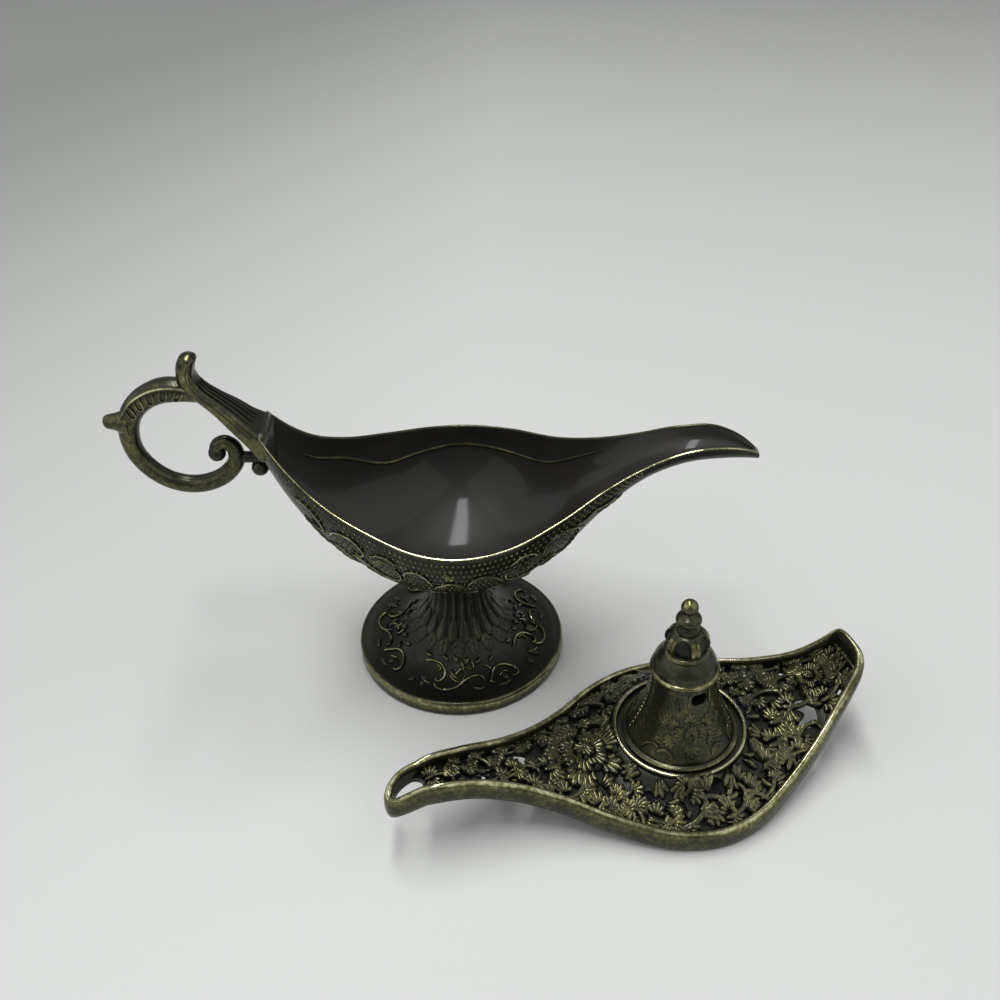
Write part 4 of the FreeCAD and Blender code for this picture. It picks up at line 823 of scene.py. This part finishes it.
# Strokes that the collar, the edge or a hole leaves no room for are dropped, and the rest are kept
# between the collar and the edge. They make two pieces, one on each side of the lid.
near_parts, far_parts = [], []
for width, kind, line, lift, bright in foliage:
    line = on_plate(line)
    middle = line[len(line) // 2]
    if np.linalg.norm(np.diff(line, axis=0), axis=1).min() > 0.08 and from_hole(*middle) > -0.3:
        grid, worn_and_painted_light = stroke(plate_at, 1, line, width, FOLIAGE_HEIGHT[kind], kind, 0.5, 1.6, lift, bright, 0.1)
        room = np.maximum(np.interp(grid[..., 0], lid_x, lid_half) - 0.75, 0.05)
        grid[..., 1] = np.clip(grid[..., 1], -room, room)
        from_axis = grid[..., :2] - [TURRET_X, 0]
        reach = np.linalg.norm(from_axis, axis=-1)[..., None]
        grid[..., :2] = [TURRET_X, 0] + from_axis * np.maximum((COLLAR_REACH - 0.15) / reach, 1)
        side_parts = near_parts if middle[1] > 0 else far_parts
        side_parts.append((lay(grid), worn_and_painted_light))
make_piece("lid_foliage_near", "lid", near_parts)
make_piece("lid_foliage_far", "lid", far_parts)

# Collar and floor of the lid, where the turret stands, cast with it.
collar_top = np.stack([10.725 + 0.375 * np.cos(np.linspace(0, math.pi, 9)),
                       8.1 + 0.3 * np.sin(np.linspace(0, math.pi, 9))], 1)
collar = np.concatenate([[(11.1, 4.9), (11.1, 6.5)], collar_top, [(10.35, 7.4), (1.3, 7.4), (1.3, 6.4),
                                                               (10.35, 6.4), (10.35, 4.9)]])
collar_worn = np.array([0.2, 0.25, 0.4, 0.6, 0.8, 0.95, 1, 0.9, 0.6, 0.4, 0.3, 0.1, 0.15, 0.15, 0.15,
                        0.2])[:, None]
make_piece("lid_collar", "lid", [(lay(lathe(collar, 160, (TURRET_X, 0))), collar_worn)], ring_rows=True)

# Turret: a hollow bell on a flange, turned from a casting with a peony in relief, with one small
# round-cornered window for the smoke, cut out between two points of the bell's line.
BELL_BOTTOM, BELL_TOP, BELL_WALL, BELL_POINTS, BELL_COLUMNS = (8.8, 8.7), (5.1, 21.5), 1.0, 44, 180
WINDOW_LOW, WINDOW_HIGH, WINDOW_SQUARE = 33, 40, 3.2
bell = arc(BELL_BOTTOM, BELL_TOP, -27.0, BELL_POINTS)
bell_inner = bell - [BELL_WALL, 0]


def bell_at(azimuth, z):
    """A point on the bell, from its azimuth in degrees and its height."""
    reach = np.interp(z, bell[:, 1], bell[:, 0])
    a = np.radians(azimuth)
    return np.stack([TURRET_X + reach * np.cos(a), reach * np.sin(a), z + 0 * a], -1)


flange = [(8.3, 7.4), (9.3, 7.4), (9.6, 7.6), (9.6, 8.0), (9.35, 8.2), (8.95, 8.3)]
turret_profile = np.concatenate([flange, bell, [(1.3, 21.5), (1.3, 20.7), (4.1, 20.7)], bell_inner[::-1][3:]])
turret_grid = lathe(turret_profile, BELL_COLUMNS, (TURRET_X, 0))
faces = grid_faces(len(turret_profile), BELL_COLUMNS, True)
row, column = faces[:, 0] // BELL_COLUMNS, faces[:, 0] % BELL_COLUMNS
low_out, high_out = len(flange) + WINDOW_LOW, len(flange) + WINDOW_HIGH
low_in, high_in = len(turret_profile) - 1 - WINDOW_HIGH, len(turret_profile) - 1 - WINDOW_LOW
first_column, last_column = 39, 54
hole = (column >= first_column) & (column < last_column)
outer_hole = hole & (row >= low_out) & (row < high_out)
inner_hole = hole & (row >= low_in) & (row < high_in)
# Faces close the window's four sides between the bell's outer and inner walls.
walls = []
up = np.arange(high_out - low_out)
for side_column in (first_column, last_column):
    a, b = (low_out + up) * BELL_COLUMNS + side_column, (high_in - up) * BELL_COLUMNS + side_column
    walls.append(np.stack([a, a + BELL_COLUMNS, b - BELL_COLUMNS, b], 1))
beside = np.arange(first_column, last_column)
for row_out, row_in in ((low_out, high_in), (high_out, low_in)):
    a, b = row_out * BELL_COLUMNS + beside, row_in * BELL_COLUMNS + beside
    walls.append(np.stack([a, a + 1, b + 1, b], 1))
faces = np.concatenate([faces[~outer_hole & ~inner_hole], *walls])
# The window's corners are rounded: its border is drawn in onto an oval with a square look.
for low, high in ((low_out, high_out), (low_in, high_in)):
    window = turret_grid[low:high + 1, first_column:last_column + 1]
    up, beside = [np.abs(np.linspace(-1, 1, count)) for count in window.shape[:2]]
    up, beside = up[:, None], beside[None, :]
    border = np.maximum(up, beside)
    oval = (up ** WINDOW_SQUARE + beside ** WINDOW_SQUARE) ** (1 / WINDOW_SQUARE)
    inward = (border / np.maximum(oval, 1e-6))[..., None]
    middle = window[[0, -1]][:, [0, -1]].mean((0, 1))
    window[:] = np.where(border[..., None] > 0.99, middle + (window - middle) * inward, window)
# The flange is rubbed on its edge, and the bell above its window, with the bore's rim, a little less.
turret_worn = np.full(len(turret_profile), 0.42)
turret_worn[:len(flange)] = (0.3, 0.5, 0.6, 0.6, 0.5, 0.3)
turret_worn[high_out:len(flange) + BELL_POINTS + 2] = 0.4
turret = make_piece("turret_bell", "lid", [(lay(turret_grid), turret_worn[:, None])], faces=faces)
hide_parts("turret")

# Relief cast with the bell, on both of its sides: scrolls and leaves given by azimuth and height, and
# the leaves of the peony, each by its place from the flower's heart in millimetres and its way. The
# heart is at azimuth 78, and a millimetre round the bell is 8 degrees there.
RELIEF_HEIGHT, HEART, DEGREES_PER_MM = 0.3, (78, 13.2), 8.0
BELL_RELIEF = [
    (0.6, "scroll", (112, 18, 112.5, 19.4, 111.5, 20.8)), (0.6, "scroll", (74, 18, 73.5, 19.4, 74.5, 20.8)),
    (0.7, "scroll", (17, 8.9, 24, 10.2, 33, 10.7, 42, 10.0)),
    (0.7, "scroll", (132, 9, 140, 10.6, 150, 10.4, 156, 9.2)),
    (1.2, "scroll", (72, 12.4, 74, 13.6, 80, 13.8, 84, 12.8, 80, 11.8, 75, 12.2)),
    (1.3, "leaf", (46, 12, 38, 11.4, 30, 12)), (1.3, "leaf", (112, 12, 120, 11.4, 128, 12)),
    (1.3, "leaf", (50, 15.6, 42, 16.6, 38, 18.2)), (1.3, "leaf", (108, 15.6, 116, 16.6, 120, 18.2)),
    (1.2, "leaf", (44, 14, 36, 14.2, 28, 15.2)), (1.2, "leaf", (114, 14, 122, 14.2, 130, 15.2)),
    (1.2, "leaf", (60, 17.4, 56, 18.8, 54, 20.2)), (0.8, "scroll", (36, 9.6, 48, 10.4, 56, 9.4, 52, 9)),
    (0.8, "scroll", (120, 9.6, 110, 10.4, 102, 9.4, 106, 9)),
]
for x, y, way in ((-2.6, 1.2, 130), (0.2, 1.9, 88), (2.7, 1.0, 50), (-2.6, -0.9, 205), (2.8, -0.9, -25),
                  (0.1, -1.7, -92), (-0.9, 0.2, 165), (1.0, 0.1, 15), (0.0, -0.3, 95)):
    BELL_RELIEF += [(0.8, "lobe", line * [-DEGREES_PER_MM, 1.0] + HEART)
                    for line in palmette(x, y, way, 0.72, 16.0)]
parts = []
for half in (0, 180):
    for width, kind, line in BELL_RELIEF:
        points = np.reshape(line, (-1, 2)) + [half, 0]
        parts.append(stroke(bell_at, 1, points, width, RELIEF_HEIGHT, kind, bright=0.25, least=0.3))
# The seam of the mould is a cord of small beads up each side.
for azimuth in (-10, 170):
    for z in np.arange(9.2, 21, 0.85):
        line = [(azimuth, z), (azimuth, z + 0.35), (azimuth, z + 0.7)]
        parts.append(stroke(bell_at, 1, line, 0.8, RELIEF_HEIGHT))
make_piece("turret_relief", "lid", [(lay(grid), worn_and_painted_light) for grid, worn_and_painted_light in parts])

# Finial, one casting whose stud goes down through the turret: a domed roof, a gallery, a lantern with
# five arched panes, a knop and a ball.
finial_profile = np.concatenate([
    [(0, 3.5), (1.0, 3.5), (1.25, 4.0), (1.25, 21.5), (5.1, 21.5)],
    arc((5.23, 21.5), (5.32, 22.4), 0.5, 9), arc((5.2, 22.45), (3.4, 25.6), 3.6, 16),
    [(3.6, 25.65), (3.7, 25.9), (3.5, 26.2)], arc((3.3, 26.3), (2.05, 30.0), 2.6, 34),
    [(1.8, 30.02), (1.78, 30.75), (1.6, 31.0), (1.45, 31.37)], arc((1.6, 31.6), (1.6, 33.1), 0.85, 11),
    [(1.1, 33.3), (0.81, 33.6)], arc((0.85, 33.7), (0.5, 36.05), 1.36, 15), [(0.0, 36.2)]])
finial_grid = lathe(finial_profile, 240)
# The panes are cut 0.6 mm into the lantern, each under a round arch, and a fine groove runs up the bar
# between two of them. They are worked out from the angle and distance to the middle of the nearest.
PANE_SILL, PANE_SPRING, PANE_TOP, PANE_HALF_WIDTH, PANE_ARCH, PANE_DEPTH = 26.4, 27.8, 29.9, 1.48, 2.0, 0.6
PANE_PITCH, FIRST_BAR, GROOVE_DEPTH, GROOVE_WIDTH = 72, 88, 0.16, 0.2
azimuth = np.linspace(0, 360, 240, endpoint=False)
from_pane = np.abs((azimuth - FIRST_BAR) % PANE_PITCH - PANE_PITCH / 2)
reach, height = finial_profile[:, :1], finial_profile[:, 1:]
across = np.radians(from_pane)[None, :] * reach
arch = PANE_SPRING + PANE_ARCH * np.sqrt(np.clip(1 - (across / PANE_HALF_WIDTH) ** 2, 0, None))
on_lantern = (height > PANE_SILL) & (height < PANE_TOP)
in_pane = (np.clip((PANE_HALF_WIDTH - across) / 0.16, 0, 1) * np.clip((height - PANE_SILL) / 0.14, 0, 1)
           * np.clip((arch - height) / 0.25, 0, 1)) * on_lantern
to_groove = np.radians(PANE_PITCH / 2 - from_pane)[None, :] * reach
groove = np.exp(-(to_groove / GROOVE_WIDTH) ** 2) * on_lantern
shrink = 1 - (PANE_DEPTH * in_pane + GROOVE_DEPTH * groove) / np.maximum(reach, 0.5)
finial_grid[..., 0] = finial_grid[..., 0] * shrink + TURRET_X
finial_grid[..., 1] *= shrink
# Wear by height, less in the panes and the grooves, and more on the panes' edges and the bars.
FINIAL_WORN = np.array([
    (21, 0.2), (21.5, 0.66), (22.4, 0.72), (22.8, 0.28), (25.4, 0.28), (25.7, 0.55), (26.2, 0.5),
    (26.5, 0.36), (30, 0.34), (31.4, 0.2), (32, 0.5), (33, 0.35), (33.6, 0.35), (36.2, 0.68)])
finial_worn = np.interp(height, FINIAL_WORN[:, 0], FINIAL_WORN[:, 1]) * (1 - in_pane)
finial_worn = finial_worn - 0.5 * in_pane + 1.6 * in_pane * (1 - in_pane) - 0.1 * groove
finial_worn = finial_worn + 0.32 * (from_pane > 24) * (1 - in_pane) * ((height > PANE_SILL) & (height < 29.4))
finial = make_piece("turret_finial_casting", "lid", [(lay(finial_grid), finial_worn)])
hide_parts("turret_finial")

# Steel screw, nut and washers, bought in: zinc-plated, grey with a fine mottle of 0.2 mm that changes
# its gloss a little.
plated_steel, tree, shader, place = new_material("zinc_plated_steel")
mottle = add(tree, "ShaderNodeTexNoise", {}, {"Vector": place, "Scale": 5000.0, "Detail": 3.0}).outputs["Fac"]
colour = add(tree, "ShaderNodeMix", {"data_type": "RGBA"},
             {"Factor": mottle, "A": linear("#8f9294"), "B": linear("#b9bbb9")}).outputs["Result"]
rough = add(tree, "ShaderNodeMapRange", {}, {"Value": mottle, "To Min": 0.28, "To Max": 0.5})
feed(tree, shader, {"Base Color": colour, "Roughness": rough.outputs["Result"], "Metallic": 1.0})
for node in ("foot_screw", "foot_washer", "turret_washer", "turret_nut"):
    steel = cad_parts[node]
    steel.data.materials.clear()
    steel.data.materials.append(plated_steel)

# Table, a pale matt board whose colour is darker further from the camera and further left, a painted shade of
# the room's light falling off, and the light of a room: two soft lamps in front, from the right and the left,
# one narrow lamp above, and a pale surround that the camera and the reflections see brighter than it shines.
board, tree, shader, place = new_material("pale_board")
place = add(tree, "ShaderNodeSeparateXYZ", {}, {"Vector": place}).outputs
# Painted shade: the board's colour mixes towards grey further back and further left.
left = add(tree, "ShaderNodeMath", {"operation": "MINIMUM"}, {0: place["X"], 1: 0.0}).outputs[0]
far_shade = add(tree, "ShaderNodeMath", {"operation": "MULTIPLY_ADD"}, {0: left, 1: -1.7, 2: place["Y"]}).outputs[0]
far_shade = add(tree, "ShaderNodeMapRange", {"interpolation_type": "SMOOTHSTEP"},
          {"Value": far_shade, "From Min": -0.05, "From Max": 0.66}).outputs["Result"]
colour = add(tree, "ShaderNodeMix", {"data_type": "RGBA"},
             {"Factor": far_shade, "A": linear("#dcdedc"), "B": linear("#949694")}).outputs["Result"]
feed(tree, shader, {"Base Color": colour, "Roughness": 0.75})
mesh = bpy.data.meshes.new("table")
mesh.from_pydata([(-3, -3, 0), (3, -3, 0), (3, 3, 0), (-3, 3, 0)], [], [(0, 1, 2, 3)])
mesh.materials.append(board)
table = put("table", mesh)

for name, place, aim, wide, long, power in (
        ("lamp_right", (0.6, -0.2, 0.5), (0, 0, 0.02), 1.3, 1.0, 3.2),
        ("lamp_left", (-0.6, -0.18, 0.5), (0, 0, 0.02), 1.3, 1.0, 3.2),
        ("lamp_above", (-0.09, 0.12, 0.9), (-0.09, 0, 0.02), 0.12, 0.9, 5.4)):
    light = bpy.data.lights.new(name, "AREA")
    light.shape, light.size, light.size_y, light.energy = "RECTANGLE", wide, long, power
    lamp = put(name, light)
    towards = Vector(aim) - Vector(place)
    lamp.matrix_world = Matrix.Translation(place) @ towards.to_track_quat("-Z", "Y").to_matrix().to_4x4()
world = bpy.data.worlds.new("pale_room")
bpy.context.scene.world = world
world.use_nodes = True
tree = world.node_tree
path = add(tree, "ShaderNodeLightPath", {}, {}).outputs
mirrored = add(tree, "ShaderNodeMath", {"operation": "MULTIPLY_ADD"},
               {0: path["Is Glossy Ray"], 1: 0.3, 2: 0.1}).outputs[0]
strength = add(tree, "ShaderNodeMath", {"operation": "MULTIPLY_ADD"},
               {0: path["Is Camera Ray"], 1: 0.6, 2: mirrored}).outputs[0]
feed(tree, tree.nodes["Background"], {"Color": linear("#e6e7e5"), "Strength": strength})

# Camera, at the photograph's place: the point in metres, how far it is turned left, tilted down and
# rolled in degrees, and its focal length for a sensor of 36 mm.
CAMERA_POINT, CAMERA_ANGLES, FOCAL_LENGTH = (0.012506, -0.16333, 0.159258), (-1.65, 37.53, -1.16), 42.92
yaw, pitch, roll = [math.radians(angle) for angle in CAMERA_ANGLES]
forward = np.array([math.sin(yaw) * math.cos(pitch), math.cos(yaw) * math.cos(pitch), -math.sin(pitch)])
right = np.array([math.cos(yaw), -math.sin(yaw), 0])
upright = np.cross(right, forward)
across = right * math.cos(roll) + upright * math.sin(roll)
upward = upright * math.cos(roll) - right * math.sin(roll)
camera_data = bpy.data.cameras.new("camera")
camera_data.lens, camera_data.sensor_width = FOCAL_LENGTH, 36
camera_data.clip_start, camera_data.clip_end = 0.01, 20
camera = put("camera", camera_data)
camera.matrix_world = Matrix([[across[k], upward[k], -forward[k], at] for k, at in
                              enumerate(CAMERA_POINT)] + [[0, 0, 0, 1]])
bpy.context.scene.camera = camera
bpy.context.scene.view_settings.view_transform = "Standard"
